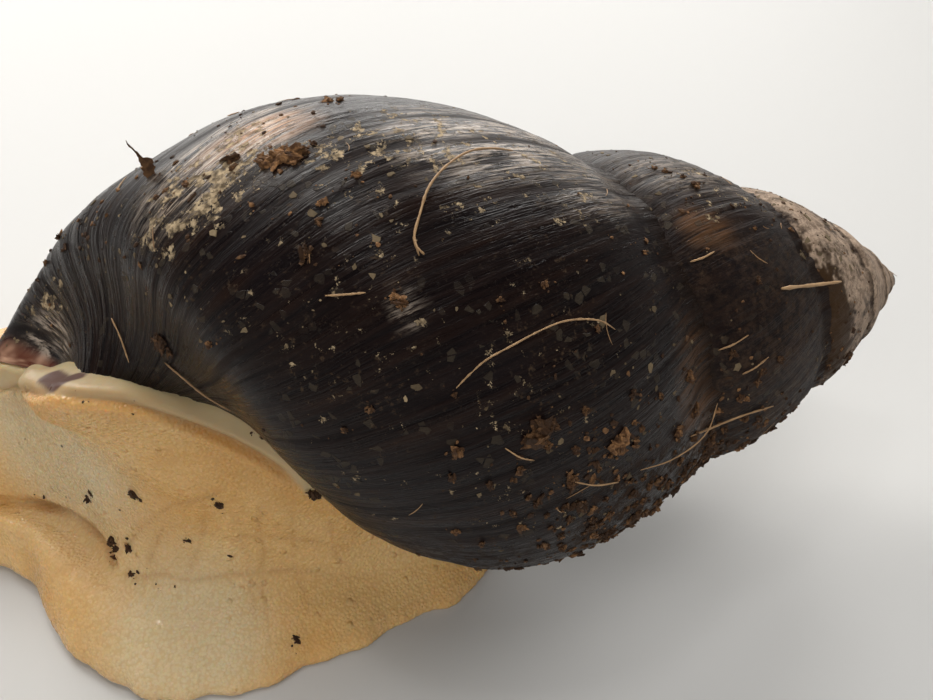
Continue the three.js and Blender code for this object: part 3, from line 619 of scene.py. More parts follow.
def body_loft():
    s = np.linspace(0, 1, 14)[:-1]
    x = np.concatenate([
        FOOT_FRONT + FRONT_ROUND * (1 - np.cos(s * np.pi / 2)) + 0.03,
        np.linspace(FOOT_FRONT + FRONT_ROUND, TAIL_END - TAIL_ROUND, 190),
        TAIL_END - TAIL_ROUND * (1 - np.cos(s[::-1] * np.pi / 2)) - 0.03,
    ])
    rings = flesh_rings(x, 8)
    return rings.reshape(-1, 3), capped_loft(len(x), rings.shape[1])


def ball(centre, radii):
    points, faces = unit_ball(4)
    return np.asarray(centre) + points * np.asarray(radii), faces


def on_side(vector, sign):
    return np.array([vector[0], vector[1] * sign, vector[2]], float)


def bowed_path(kind, sign, steps):
    root = HEAD_CENTRE + on_side(kind["root"], sign)
    lean = on_side(kind["lean"], sign)
    tip = root + lean / np.linalg.norm(lean) * kind["length"]
    bend = (root + tip) / 2 + on_side(kind["bow"], sign)
    s = np.linspace(0, 1, steps)[:, None]
    return (1 - s) ** 2 * root + 2 * (1 - s) * s * bend + s ** 2 * tip


def bar(path, radii):
    """Round bar of flesh, its radii a table over the share of the path."""
    radius = smooth_table(radii, np.linspace(0, 1, len(path)))
    return tube(path, radius, 20, np.array([0.0, 1.0, 0.0]))


def collar_path(per_segment=14):
    in_lip = np.array(COLLAR_IN_LIP)
    inside = shell_place(np.full(len(in_lip), COLLAR_TURN), in_lip[:, 0], in_lip[:, 1])
    return catmull(np.concatenate([inside, np.array(COLLAR_OVER_SHELL, float)]), per_segment, closed=True)


def even_steps(path, count):
    closed = np.concatenate([path, path[:1]])
    run = np.concatenate([[0], np.cumsum(np.linalg.norm(np.diff(closed, axis=0), axis=1))])
    at = np.linspace(0, run[-1], count, endpoint=False)
    return np.stack([np.interp(at, run, closed[:, k]) for k in range(3)], -1)


def collar_sheet():
    """Sheet of flesh closing the mouth of the shell, with the thick collar as its rounded edge."""
    centres = even_steps(collar_path(), 220)
    middle = even_steps(collar_path(), 28).mean(0)
    along = unit(np.roll(centres, -1, 0) - np.roll(centres, 1, 0))
    outward = centres - middle
    outward = unit(outward - (outward * along).sum(1)[:, None] * along)
    across = np.cross(along, outward)
    angles = np.linspace(-np.pi / 2, np.pi / 2, 13)
    bend = np.linalg.norm(centres - COLLAR_BEND, axis=1)
    radius = COLLAR_RADIUS * (1 - 0.4 * np.exp(-(bend / 7.0) ** 2))
    ring = rings_round(centres, outward, across, radius, angles)
    forward = unit(across.mean(0))
    points = list(ring.reshape(-1, 3))
    n, rim = len(centres), len(angles)
    faces = []
    for i in range(n):
        following = (i + 1) % n
        for k in range(rim - 1):
            faces.append([i * rim + k, i * rim + k + 1, following * rim + k + 1, following * rim + k])
        faces.append([n * rim, i * rim, following * rim])
        faces.append([n * rim + 1, following * rim + rim - 1, i * rim + rim - 1])
    points += [middle - forward * COLLAR_RADIUS, middle + forward * COLLAR_RADIUS]
    return np.array(points), faces


def collar_fillet():
    """Bars under the visible side of the collar, so that the body swells up to meet it."""
    path = catmull(COLLAR_OVER_SHELL[:7], 8)
    size = [[0, 1.9], [0.15, 2.3], [0.8, 2.3], [1, 1.4]]
    return [bar(path + np.array(step), size) for step in ((0.2, 0.9, -2.2), (0.2, 1.6, -4.4))]


def mouth_plug():
    """Flesh inside the mouth of the shell."""
    turns = np.linspace(-MOUTH_REACH - 0.02, 0.03, 40)
    v = np.concatenate([np.linspace(0, 1, 40), np.linspace(1, 2, 50)[1:]])
    turn, v = grid(turns, v)
    points = shell_points(np.minimum(turn, 0), v) - shell_normals(np.minimum(turn, -0.002), v) * 0.9
    outline = whorl(turn, v)
    flat = shell_place(turn, np.maximum(outline[..., 0] - 0.9, 1.5), outline[..., 1] - 0.5)
    points = np.where((turn > 0)[..., None], flat, points)
    inner = shell_place(turns, np.full(len(turns), 1.5), along_suture(SUTURE_DEPTHS, turns) + 1.0)
    points = np.concatenate([inner[:, None], points], 1)
    return points.reshape(-1, 3), capped_loft(len(turns), points.shape[1])


def joined(parts):
    points, faces, start = [], [], 0
    for part_points, part_faces in parts:
        points.append(part_points)
        faces += [[k + start for k in face] for face in part_faces]
        start += len(part_points)
    return np.concatenate(points), faces


def apply_modifiers(piece):
    graph = bpy.context.evaluated_depsgraph_get()
    mesh = bpy.data.meshes.new_from_object(piece.evaluated_get(graph))
    piece.modifiers.clear()
    old = piece.data
    piece.data = mesh
    bpy.data.meshes.remove(old)


def remeshed(piece, voxel_mm, smoothing):
    remesh = piece.modifiers.new("voxels", "REMESH")
    remesh.mode = "VOXEL"
    remesh.voxel_size = voxel_mm * MM
    remesh.adaptivity = 0
    smooth = piece.modifiers.new("smooth", "SMOOTH")
    smooth.factor = 0.5
    smooth.iterations = smoothing
    apply_modifiers(piece)
    piece.data.polygons.foreach_set("use_smooth", [True] * len(piece.data.polygons))


def outward_facing(points, faces):
    work = bmesh.new()
    verts = [work.verts.new(p) for p in points]
    for face in faces:
        work.faces.new([verts[k] for k in face])
    bmesh.ops.recalc_face_normals(work, faces=work.faces)
    work.verts.index_update()
    fixed = [[v.index for v in f.verts] for f in work.faces]
    work.free()
    return points, fixed


def make_skin():
    parts = [body_loft(), ball(HEAD_CENTRE, HEAD_RADII), collar_sheet(), mouth_plug()] + collar_fillet()
    for sign in (-1, 1):
        parts.append(bar(bowed_path(EYE_STALK, sign, 60), EYE_STALK["radii"]))
        parts.append(bar(bowed_path(FEELER, sign, 30), FEELER["radii"]))
        parts.append(ball(HEAD_CENTRE + on_side(LAPPET_PLACE, sign), LAPPET_RADII))
    points, faces = joined([outward_facing(*part) for part in parts])
    piece = new_object("skin", points, faces)
    remeshed(piece, SKIN_VOXEL, 4)
    shape_skin(piece)
    return piece


def vertex_values(piece, name):
    values = np.empty(len(piece.data.vertices) * 3, np.float32)
    piece.data.vertices.foreach_get(name, values)
    return values.reshape(-1, 3).astype(float)


def move_skin(piece, points):
    points[:, 2] = np.maximum(points[:, 2], 0)
    piece.data.vertices.foreach_set("co", place(points).ravel())
    piece.data.update()


def relaxed(piece, points, weight, rounds):
    """Points drawn towards the middle of their neighbours, as far as weight says."""
    ends = np.empty(len(piece.data.edges) * 2, np.int32)
    piece.data.edges.foreach_get("vertices", ends)
    ends = ends.reshape(-1, 2)
    both = np.concatenate([ends[:, 0], ends[:, 1]])
    other = np.concatenate([ends[:, 1], ends[:, 0]])
    count = np.bincount(both, minlength=len(points))
    for _ in range(rounds):
        middle = np.stack([np.bincount(both, points[other, k], len(points)) for k in range(3)], -1)
        points = points + (middle / count[:, None] - points) * weight[:, None]
    return points


def path_distance(points, path):
    """Distance from each point to a line of points, and the share of the line where it is nearest."""
    best = np.full(len(points), 1e9)
    share = np.zeros(len(points))
    for k in range(len(path) - 1):
        a, b = path[k], path[k + 1]
        ab = b - a
        s = np.clip(((points - a) @ ab) / max(ab @ ab, 1e-9), 0, 1)
        d = np.linalg.norm(points - a - s[:, None] * ab, axis=1)
        nearer = d < best
        best = np.where(nearer, d, best)
        share = np.where(nearer, (k + s) / (len(path) - 1), share)
    return best, share


class Surface:
    """Finds where a line of sight from the camera meets a piece."""

    def __init__(self, piece):
        self.tree = BVHTree.FromObject(piece, bpy.context.evaluated_depsgraph_get())

    def under(self, across, down):
        focal = PICTURE_MIDDLE[0] / math.tan(math.radians(CAMERA_WIDTH / 2))
        tilt = math.radians(CAMERA_TILT)
        x, y = (across - PICTURE_MIDDLE[0]) / focal, (PICTURE_MIDDLE[1] - down) / focal
        way = Vector((x, math.sin(tilt) + y * math.cos(tilt), -math.cos(tilt) + y * math.sin(tilt)))
        spot_at, normal, _, _ = self.tree.ray_cast(Vector(place(CAMERA_PLACE)), way.normalized())
        if spot_at is None:
            return None, None
        if normal.dot(way) > 0:
            normal.negate()
        return layout(spot_at), np.array(normal)

    def along(self, spots):
        hits = [self.under(*at)[0] for at in spots]
        return np.array([hit for hit in hits if hit is not None])


# Folds of the skin as the camera sees them: places, depth and half width in mm, and the swelling
# on both sides as a share of the depth.
COLLAR_FOLD = [(-30, 386), (0, 388), (40, 393), (80, 398), (120, 403), (150, 412), (200, 430), (240, 446),
               (280, 471), (312, 500)]
FOLDS = [
    (COLLAR_FOLD, 0.8, 0.42, 0.3),
    (COLLAR_FOLD, 0.04, 1.1, 0),
    ([(-20, 500), (0, 501), (30, 502), (52, 508), (72, 515), (90, 527), (104, 540), (112, 556), (116, 572)],
     1.05, 0.42, 0.3),
    ([(116, 556), (131, 541), (148, 521), (170, 507), (196, 499), (232, 489)], 0.16, 0.22, 0),
    ([(118, 572), (140, 577), (162, 574), (185, 580), (240, 574), (300, 571), (330, 575), (404, 577)],
     0.12, 0.25, 0),
    ([(262, 496), (259, 530), (264, 552), (260, 577), (266, 610), (270, 648)], 0.12, 0.22, 0),
    ([(236, 512), (243, 545), (250, 580), (256, 622)], 0.08, 0.2, 0),
    ([(290, 505), (294, 540), (298, 578), (312, 610)], 0.08, 0.2, 0),
    ([(204, 497), (203, 530), (194, 560), (186, 580)], 0.08, 0.2, 0),
    ([(164, 526), (154, 548), (144, 572)], 0.1, 0.22, 0),
    ([(330, 518), (334, 548), (350, 580)], 0.07, 0.2, 0),
    ([(224, 540), (262, 536), (310, 541), (356, 548)], 0.07, 0.2, 0),
]
# Direction from the fold under the collar to the collar itself.
COLLAR_FACES = np.array([0, 0.74, 0.67])
# Greyer skin: where the camera sees it and how far it reaches, in mm.
GREY_PLACES = [((50, 450), 13.0), ((190, 645), 10.0), ((20, 400), 6.0)]
# Painted shade in the dark gap at the collar's end, as the camera sees it.
NOTCH_SHADE = [(50, 377), (56, 381), (60, 384), (66, 380), (74, 378)]
MOUTH_FOLD = [(-8.6, -3.0, -4.6), (-9.2, -1.2, -3.6), (-9.6, 0, -3.2), (-9.2, 1.2, -3.6), (-8.6, 3.0, -4.6)]


def tubercles(points, size, seed):
    """Edge-to-edge warts: 1 at the middle of each, 0 in the grooves between them."""
    p = points / size
    cell = np.floor(p).astype(np.int64)
    first = np.full(len(p), 9.0)
    second = np.full(len(p), 9.0)
    for dx in (-1, 0, 1):
        for dy in (-1, 0, 1):
            for dz in (-1, 0, 1):
                c = cell + (dx, dy, dz)
                centre = c + np.stack([0.5 + 0.42 * lattice(c[:, 0], c[:, 1], c[:, 2], seed + k)
                                       for k in range(3)], -1)
                d = np.linalg.norm(p - centre, axis=1)
                second = np.where(d < first, first, np.minimum(second, d))
                first = np.minimum(first, d)
    return smoothstep(second - first, 0.02, 0.42)


def fold_depths(points, surface):
    """How deep each point is sunk by the folds, in mm, and how dark the painted shade on its fold is."""
    sunk = np.zeros(len(points))
    crease = np.zeros(len(points))
    for spots, depth, width, swelling in FOLDS:
        path = surface.along(spots)
        if len(path) < 2:
            continue
        away, share = path_distance(points, catmull(path, 4))
        wander = 1 + 0.3 * noise(share * 9, depth * 50, 0, 71)
        fade = smoothstep(share, 0, 0.08) * smoothstep(1 - share, 0, 0.12)
        fade = fade * (0.75 + 0.4 * noise(share * 6, depth * 90, 0, 72))
        line = np.exp(-(away / (width * wander)) ** 2) * fade
        swell = np.exp(-((away - 2.4 * width) / (1.5 * width)) ** 2) * fade
        sunk += depth * (line - swelling * swell)
        # painted shade along each fold, darkest at its line
        soft = np.exp(-(away / (2.6 * width)) ** 2) * fade
        crease = np.maximum(crease, (0.5 * line + 0.45 * soft) * min(1, 0.45 + depth))
    away, _ = path_distance(points, catmull(HEAD_CENTRE + np.array(MOUTH_FOLD), 6))
    slit = np.exp(-(away / 0.55) ** 2)
    return sunk + 0.8 * slit, np.maximum(crease, slit)


def collar_cover(points, near, surface):
    """1 on the collar's smooth skin and 0 on the body's, for points at distance near from its line."""
    fold_path = catmull(surface.along(COLLAR_FOLD), 4)
    away, share = path_distance(points, fold_path)
    steps = np.linspace(0, 1, len(fold_path))
    on_fold = np.stack([np.interp(share, steps, fold_path[:, k]) for k in range(3)], -1)
    behind = (points - on_fold) @ COLLAR_FACES
    under_fold = smoothstep(-behind, -0.15, 0.15) * (away < 9) * (share > 0.02)
    cover = (1 - smoothstep(near, COLLAR_RADIUS - 0.4, COLLAR_RADIUS + 1.0)) * (1 - under_fold)
    above_fold = (1 - under_fold) * (1 - smoothstep(away, 4.5, 7.0)) * (share > 0.02) * (share < 0.99)
    return np.maximum(cover, above_fold)


def shape_skin(piece):
    """Gives the remeshed skin its folds, warts and rumples, and the values its material reads."""
    points = layout(vertex_values(piece, "co"))
    collar = collar_path(6)
    near, _ = path_distance(points, np.concatenate([collar, collar[:1]]))
    near_seen, _ = path_distance(points, catmull(COLLAR_OVER_SHELL[:7], 8))
    points = relaxed(piece, points, 0.7 * (1 - smoothstep(near_seen, 7.5, 12.0)), SMOOTHING_ROUNDS)
    move_skin(piece, points)

    surface = Surface(piece)
    normals = vertex_values(piece, "normal")
    sunk, crease = fold_depths(points, surface)
    cover = collar_cover(points, near, surface)
    off_floor = smoothstep(points[:, 2], 0.15, 1.4)
    height_up = smoothstep(points[:, 2], 3.0, 9.0)
    on_stalk = smoothstep(points[:, 2], 17.5, 20) * (points[:, 0] < -104)
    thin = np.maximum(on_stalk, smoothstep(-points[:, 0], 117.5, 119.5))
    ahead = smoothstep(-points[:, 0], 66, 86) * (1 - thin)
    warts = tubercles(points * np.array([0.62, 1.0, 1.0]), 1.15, 75)
    small = tubercles(points + 0.4 * cloud(points, 2.0, 78, 1)[:, None], 0.8, 79)
    rumple = cloud(points, 10.0, 54, 2) * 0.4 + cloud(points, 3.2, 51, 3) * 0.2
    fringe = noise_at(points / np.array([0.8, 0.8, 5]), 83)
    at_edge = smoothstep(points[:, 2], 4.5, 1.2) * off_floor
    height = (rumple * off_floor * (1 - 0.8 * thin) * (1 - 0.6 * cover)
              + 0.20 * (warts - 0.6) * ahead * height_up
              + 0.06 * (small - 0.6) * (1 - ahead) * (1 - cover) * off_floor * (1 - thin)
              + 0.10 * fringe * at_edge
              + 0.05 * np.sin(points[:, 2] * 5.2 + 2 * cloud(points, 3, 85, 1)) * on_stalk
              - sunk * off_floor)
    points = points + normals * height[:, None]
    move_skin(piece, points)

    grey = 0.25 * cloud(points, 24.0, 61, 2) + 0.5 * smoothstep(-points[:, 0], 80, 100)
    for spot_at, reach in GREY_PLACES:
        middle, _ = surface.under(*spot_at)
        grey = grey + np.exp(-(np.linalg.norm(points - middle, axis=1) / reach) ** 2)
    away, _ = path_distance(points, surface.along(NOTCH_SHADE))
    for name, values in (("mantle", cover), ("crease", crease), ("grey", np.clip(grey, 0, 1)),
                         ("edge", 1 - smoothstep(points[:, 2], 0.5, 3.2)), ("ahead", ahead),
                         ("warts", warts), ("notch", 1 - smoothstep(away, 1.1, 1.6))):
        set_value(piece, name, values)


# ---- materials -----------------------------------------------------------------------------
class Nodes:
    """A material's nodes, built one after another."""

    def __init__(self, name):
        self.material = bpy.data.materials.new(name)
        self.material.use_nodes = True
        self.tree = self.material.node_tree
        self.tree.nodes.clear()
        self.where = self.add("ShaderNodeTexCoord").outputs["Object"]

    def add(self, kind, first=(), **settings):
        """Adds a node: first holds what goes into its first inputs."""
        node = self.tree.nodes.new(kind)
        for key, value in settings.items():
            setattr(node, key, value)
        for socket, value in zip(node.inputs, first):
            self.feed(socket, value)
        return node

    def feed(self, socket, value):
        if isinstance(value, bpy.types.NodeSocket):
            self.tree.links.new(value, socket)
        elif isinstance(value, tuple) and socket.type == "RGBA" and len(value) == 3:
            socket.default_value = value + (1.0,)
        else:
            socket.default_value = value

    def math(self, operation, a, b, clamp=False):
        return self.add("ShaderNodeMath", (a, b), operation=operation, use_clamp=clamp).outputs[0]

    def times(self, a, b):
        return self.math("MULTIPLY", a, b, True)

    def mix(self, share, a, b):
        node = self.add("ShaderNodeMix", (share,), data_type="RGBA")
        self.feed(node.inputs[6], a)
        self.feed(node.inputs[7], b)
        return node.outputs[2]

    def over(self, base, share, colour, strength):
        """The base colour with another over it, as far as share times strength."""
        return self.mix(self.times(share, strength), base, colour)

    def blend(self, share, a, b):
        node = self.add("ShaderNodeMix", (share,), data_type="FLOAT")
        self.feed(node.inputs[2], a)
        self.feed(node.inputs[3], b)
        return node.outputs[0]

    def step(self, value, low, high):
        return self.add("ShaderNodeMapRange", (value, low, high), interpolation_type="SMOOTHSTEP").outputs[0]

    def value_of(self, name):
        return self.add("ShaderNodeAttribute", attribute_name=name).outputs["Fac"]

    def vector_of(self, name):
        return self.add("ShaderNodeAttribute", attribute_name=name).outputs["Vector"]

    def red_of(self, colour):
        return self.add("ShaderNodeSeparateColor", (colour,)).outputs[0]

    def noise(self, scale, detail=3.0, roughness=0.55, vector=None):
        node = self.add("ShaderNodeTexNoise")
        self.feed(node.inputs["Vector"], self.where if vector is None else vector)
        for name, value in (("Scale", scale), ("Detail", detail), ("Roughness", roughness)):
            self.feed(node.inputs[name], value)
        return node.outputs[0]

    def patches(self, scale, detail, low, high, roughness=0.55):
        """Patches of noise: 0 where it is under low, 1 where it is over high."""
        return self.step(self.noise(scale, detail, roughness), low, high)

    def tones(self, scale, detail, a, b):
        return self.mix(self.noise(scale, detail), a, b)

    def cells(self, scale, feature="F1", randomness=1.0):
        node = self.add("ShaderNodeTexVoronoi", feature=feature)
        for name, value in (("Vector", self.where), ("Scale", scale), ("Randomness", randomness)):
            self.feed(node.inputs[name], value)
        return node.outputs

    def bump(self, height, distance, strength, normal=None):
        node = self.add("ShaderNodeBump")
        for name, value in (("Strength", strength), ("Distance", distance), ("Height", height)):
            self.feed(node.inputs[name], value)
        if normal is not None:
            self.feed(node.inputs["Normal"], normal)
        return node.outputs[0]

    def finish(self, **inputs):
        shader = self.add("ShaderNodeBsdfPrincipled")
        for key, value in inputs.items():
            self.feed(shader.inputs[key.replace("_", " ")], value)
        output = self.add("ShaderNodeOutputMaterial")
        self.tree.links.new(shader.outputs[0], output.inputs["Surface"])
        return self.material


def along_growth(n, growth, scale, detail, roughness=0.55):
    """Streaks along the growth lines."""
    node = n.add("ShaderNodeMapping")
    n.feed(node.inputs["Vector"], growth)
    node.inputs["Scale"].default_value = scale
    return n.noise(1.0, detail, roughness, node.outputs[0])


def shell_material():
    n = Nodes("shell_horn")
    growth = n.vector_of("growth")
    crest = n.add("ShaderNodeSeparateXYZ", (growth,)).outputs[2]

    # dark brown, streaked along the growth lines
    streak = along_growth(n, growth, (2.0, 0.11, 0.0), 3.0, 0.6)
    streak_wide = along_growth(n, growth, (0.4, 0.035, 0.0), 2.0, 0.5)
    base = n.mix(n.step(streak, 0.35, 0.7), (0.0044, 0.0027, 0.0030), (0.0105, 0.0054, 0.0046))
    base = n.over(base, n.step(streak_wide, 0.48, 0.75), (0.0200, 0.0088, 0.0050), 0.55)
    base = n.over(base, n.patches(60.0, 4.0, 0.5, 0.7, 0.6), (0.0080, 0.0060, 0.0075), 0.4)
    # painted glow: orange-brown light shining through the thin shell, on the streaks
    base = n.over(base, n.value_of("glow"), (0.40, 0.185, 0.068), n.step(streak, 0.30, 0.68))

    # bleached tip and brown band
    apex = n.times(n.value_of("apex"), n.patches(300.0, 4.0, 0.30, 0.52, 0.65))
    base = n.mix(apex, base, n.tones(480.0, 4.0, (0.24, 0.165, 0.115), (0.53, 0.41, 0.31)))
    base = n.over(base, n.value_of("band"), (0.040, 0.021, 0.0085), 0.85)

    # pale streaks on the ridge crests: partly real wear, partly painted highlight glinting along the ridges
    broken = along_growth(n, growth, (2.7, 0.26, 0.0), 5.0, 0.72)
    worn = n.times(n.value_of("worn"), n.step(broken, 0.45, 0.60))
    worn = n.times(worn, n.step(crest, -0.3, 0.3))
    base = n.over(base, worn, n.tones(200.0, 3.0, (0.42, 0.31, 0.215), (0.55, 0.48, 0.42)), 0.82)

    # chips, soil, dust, film, peeling outer layer, specks
    pick = n.red_of(n.cells(1250.0)["Color"])
    rims = n.cells(1250.0, "DISTANCE_TO_EDGE")["Distance"]
    chips = n.times(n.step(pick, 0.90, 0.91), n.step(rims, 0.05, 0.10))
    chips = n.times(chips, n.patches(110.0, 2.0, 0.40, 0.58))
    base = n.over(base, chips, (0.046, 0.036, 0.025), 0.6)
    soil_break = n.noise(620.0, 5.0, 0.7)
    soil = n.times(n.value_of("soil"), n.step(soil_break, 0.45, 0.60))
    base = n.mix(soil, base, (0.030, 0.0155, 0.0085))
    dust = n.times(n.patches(1500.0, 4.0, 0.57, 0.70, 0.7), n.patches(90.0, 3.0, 0.40, 0.60))
    base = n.over(base, dust, (0.085, 0.055, 0.032), 0.55)
    film = n.times(n.value_of("dusty"), n.patches(1000.0, 6.0, 0.40, 0.66, 0.8))
    film = n.times(film, n.patches(130.0, 3.0, 0.25, 0.55))
    base = n.over(base, film, (0.060, 0.036, 0.022), 0.75)
    peeling = n.value_of("peel")
    torn = n.math("ADD", n.noise(520.0, 6.0, 0.75), n.times(peeling, 0.16))
    peel = n.times(n.step(torn, 0.67, 0.69), n.step(peeling, 0.05, 0.25))
    olive = n.mix(n.patches(1500.0, 3.0, 0.35, 0.68), (0.10, 0.072, 0.042), (0.52, 0.40, 0.25))
    base = n.over(base, peel, olive, 0.85)
    speck = n.times(n.patches(2800.0, 3.0, 0.56, 0.70, 0.7), n.patches(260.0, 3.0, 0.35, 0.60))
    base = n.over(base, speck, (0.048, 0.036, 0.027), 0.3)
    base = n.over(base, n.value_of("seam"), (0.012, 0.007, 0.005), 0.6)

    # reddish lip and pale inside
    red = n.mix(n.step(streak, 0.46, 0.66), (0.10, 0.026, 0.013), (0.60, 0.36, 0.24))
    base = n.over(base, n.value_of("lip"), red, 0.85)
    base = n.mix(n.value_of("inside"), base, (0.50, 0.42, 0.40))

    rough = n.blend(n.step(streak, 0.3, 0.75), 0.22, 0.38)
    rough = n.blend(n.step(crest, -0.35, 0.15), 0.60, rough)
    rough = n.blend(n.times(n.value_of("dusty"), 0.75), rough, 0.75)
    rough = n.blend(n.math("MAXIMUM", n.math("MAXIMUM", soil, dust), peel), rough, 0.85)
    rough = n.blend(n.times(chips, 0.8), rough, 0.6)
    rough = n.blend(apex, rough, 0.7)

    fine = along_growth(n, growth, (6.0, 0.35, 0.0), 2.0)
    ridges = n.bump(n.math("ADD", n.times(streak, 0.6), n.times(fine, 0.4)), 0.00022, 0.9)
    stuck = n.math("ADD", n.times(n.math("MAXIMUM", chips, peel), 0.35), n.times(soil, soil_break))
    grain = n.bump(n.noise(1900.0), 0.00004, 0.7, n.bump(stuck, 0.0002, 0.9, ridges))
    return n.finish(Base_Color=base, Roughness=rough, Normal=grain, Specular_IOR_Level=0.19)


def skin_material():
    n = Nodes("moist_skin")
    mantle = n.value_of("mantle")
    ahead = n.value_of("ahead")
    notch = n.value_of("notch")
    flesh = n.mix(n.patches(70.0, 3.0, 0.35, 0.66), (0.63, 0.365, 0.125), (0.72, 0.475, 0.205))
    flesh = n.over(flesh, n.step(n.value_of("grey"), 0.1, 0.8), (0.66, 0.555, 0.355), 0.85)
    flesh = n.over(flesh, n.value_of("edge"), (0.74, 0.46, 0.20), 0.4)
    flesh = n.mix(mantle, flesh, n.tones(180.0, 3.0, (0.37, 0.280, 0.150), (0.50, 0.400, 0.235)))
    # painted shade: darker brown along the skin's folds and the mouth slit
    flesh = n.over(flesh, n.value_of("crease"), (0.36, 0.15, 0.040), 0.72)
    # painted shade: near-black red in the gap at the collar's end
    flesh = n.over(flesh, notch, (0.060, 0.013, 0.007), 0.97)
    groove = n.times(n.math("SUBTRACT", 1.0, n.value_of("warts"), True), ahead)
    flesh = n.over(flesh, groove, (0.42, 0.24, 0.09), 0.45)
    bare = n.math("SUBTRACT", 1.0, n.times(mantle, 0.9), True)
    granule = n.cells(2300.0, "F1", 0.9)["Distance"]
    flesh = n.over(flesh, n.times(n.step(granule, 0.42, 0.75), bare), (0.47, 0.25, 0.085), 0.26)

    # granules, fine grain, and wet beads in patches
    grain = n.bump(n.times(n.step(granule, 0.75, 0.05), bare), 0.00012, 0.7)
    grain = n.bump(n.noise(4200.0, 2.0), 0.00003, 0.5, grain)
    beads = n.cells(800.0)
    bead = n.times(n.step(beads["Distance"], 0.42, 0.10), n.step(n.red_of(beads["Color"]), 0.78, 0.80))
    bead = n.times(bead, n.patches(75.0, 2.0, 0.47, 0.56))
    grain = n.bump(bead, 0.0003, 0.8, grain)
    rough = n.blend(n.patches(900.0, 3.0, 0.45, 0.62), 0.17, 0.36)
    rough = n.blend(bead, rough, 0.1)
    rough = n.blend(mantle, rough, 0.42)
    return n.finish(Base_Color=flesh, Roughness=rough, Normal=grain,
                    Subsurface_Weight=n.blend(notch, 0.45, 0.0),
                    Subsurface_Radius=(0.0022, 0.0010, 0.0004), Subsurface_Scale=1.0, IOR=1.4)


def eye_material():
    n = Nodes("eye_gloss")
    colour = n.tones(900.0, 2.0, (0.010, 0.008, 0.007), (0.035, 0.026, 0.020))
    return n.finish(Base_Color=colour, Roughness=0.16)


def soil_material():
    n = Nodes("potting_soil")
    dark = n.tones(1400.0, 4.0, (0.016, 0.008, 0.004), (0.055, 0.026, 0.012))
    warm = n.mix(n.patches(1700.0, 4.0, 0.35, 0.65), (0.060, 0.026, 0.011), (0.30, 0.155, 0.066))
    return n.finish(Base_Color=n.mix(n.value_of("tint"), dark, warm), Roughness=0.85,
                    Normal=n.bump(n.noise(3000.0), 0.0001, 1.0))


def flake_material():
    n = Nodes("peeling_skin_flakes")
    dark = n.tones(2500.0, 2.0, (0.045, 0.033, 0.020), (0.100, 0.074, 0.045))
    pale = n.tones(2500.0, 2.0, (0.26, 0.19, 0.11), (0.46, 0.35, 0.21))
    return n.finish(Base_Color=n.mix(n.value_of("tint"), dark, pale), Roughness=0.75,
                    Normal=n.bump(n.noise(4000.0, 2.0), 0.00004, 0.8), Specular_IOR_Level=0.2)


def fibre_material():
    n = Nodes("coir_fibre")
    dark = n.tones(1100.0, 3.0, (0.14, 0.070, 0.032), (0.30, 0.18, 0.090))
    pale = n.tones(1100.0, 3.0, (0.26, 0.15, 0.07), (0.58, 0.38, 0.20))
    return n.finish(Base_Color=n.mix(n.value_of("tint"), dark, pale), Roughness=0.6,
                    Normal=n.bump(n.noise(5000.0, 2.0), 0.00004, 0.8))


def floor_material():
    n = Nodes("pale_floor")
    return n.finish(Base_Color=n.tones(3.0, 2.0, (0.545, 0.545, 0.54), (0.575, 0.575, 0.57)), Roughness=0.6)


# ---- stuck soil, flakes and fibres -----------------------------------------------------------
class Bits:
    """Many small bodies gathered into one piece."""

    def __init__(self):
        self.points, self.faces, self.tints, self.count = [], [], [], 0

    def add(self, points, faces, tint):
        self.points.append(points)
        self.faces += [[k + self.count for k in face] for face in faces]
        self.tints.append(np.full(len(points), tint))
        self.count += len(points)

    def piece(self, name, material, smooth=True):
        made = new_object(name, np.concatenate(self.points), self.faces, smooth)
        set_value(made, "tint", np.concatenate(self.tints))
        face_outward(made)
        made.data.materials.append(material)
        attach(made, "root")
        return made


BALLS = {k: unit_ball(k) for k in (1, 2, 3)}


def facing(normal, spin):
    """Three directions, the last along normal, the others turned about it by spin."""
    hint = np.array([0.0, 0.0, 1.0]) if abs(normal[2]) < 0.9 else np.array([1.0, 0.0, 0.0])
    first = unit(np.cross(hint, normal))
    second = np.cross(normal, first)
    return np.array([first * math.cos(spin) + second * math.sin(spin),
                     second * math.cos(spin) - first * math.sin(spin), normal])


def add_lump(bits, at, axes, size, stretch, draw, tint, detail):
    points, faces = BALLS[detail]
    shift = draw.uniform(-50, 50, 3)
    swell = 1 + 0.55 * noise_at(points * 1.9 + shift, 91) + 0.35 * noise_at(points * 5.0 + shift, 92)
    bits.add(at + (points * swell[:, None] * size * stretch) @ axes, faces, tint)


def add_crumb(bits, at, normal, size, draw, tint, long=1.0, flat=0.65, sink=0.35):
    """A crumb of soil: a small one is one rough lump, a larger one many lumps stuck together."""
    axes = facing(normal, draw.uniform(0, 2 * math.pi))
    if size < 0.3:
        stretch = np.array([long, 1.0, flat]) * draw.uniform(0.7, 1.25, 3)
        add_lump(bits, at + normal * size * flat * (1 - 2 * sink), axes, size, stretch, draw, tint, 1)
        return
    reach = np.array([long, 1.0, flat * 0.8]) * size
    for _ in range(int(14 + 22 * size * long)):
        way = draw.normal(0, 1, 3)
        way *= draw.uniform(0.1, 0.95) / np.linalg.norm(way)
        lump = size * draw.uniform(0.14, 0.42)
        spin = facing(normal + draw.normal(0, 0.5, 3), draw.uniform(0, 6.28))
        centre = at + (way * reach) @ axes + normal * reach[2] * (1 - 2 * sink)
        stretch = np.array([draw.uniform(1.1, 2.6), 1.0, draw.uniform(0.5, 0.9)])
        shade = float(np.clip(tint + draw.normal(0, 0.22), 0, 1))
        add_lump(bits, centre, spin, lump, stretch, draw, shade, 2 if lump > 0.19 else 1)


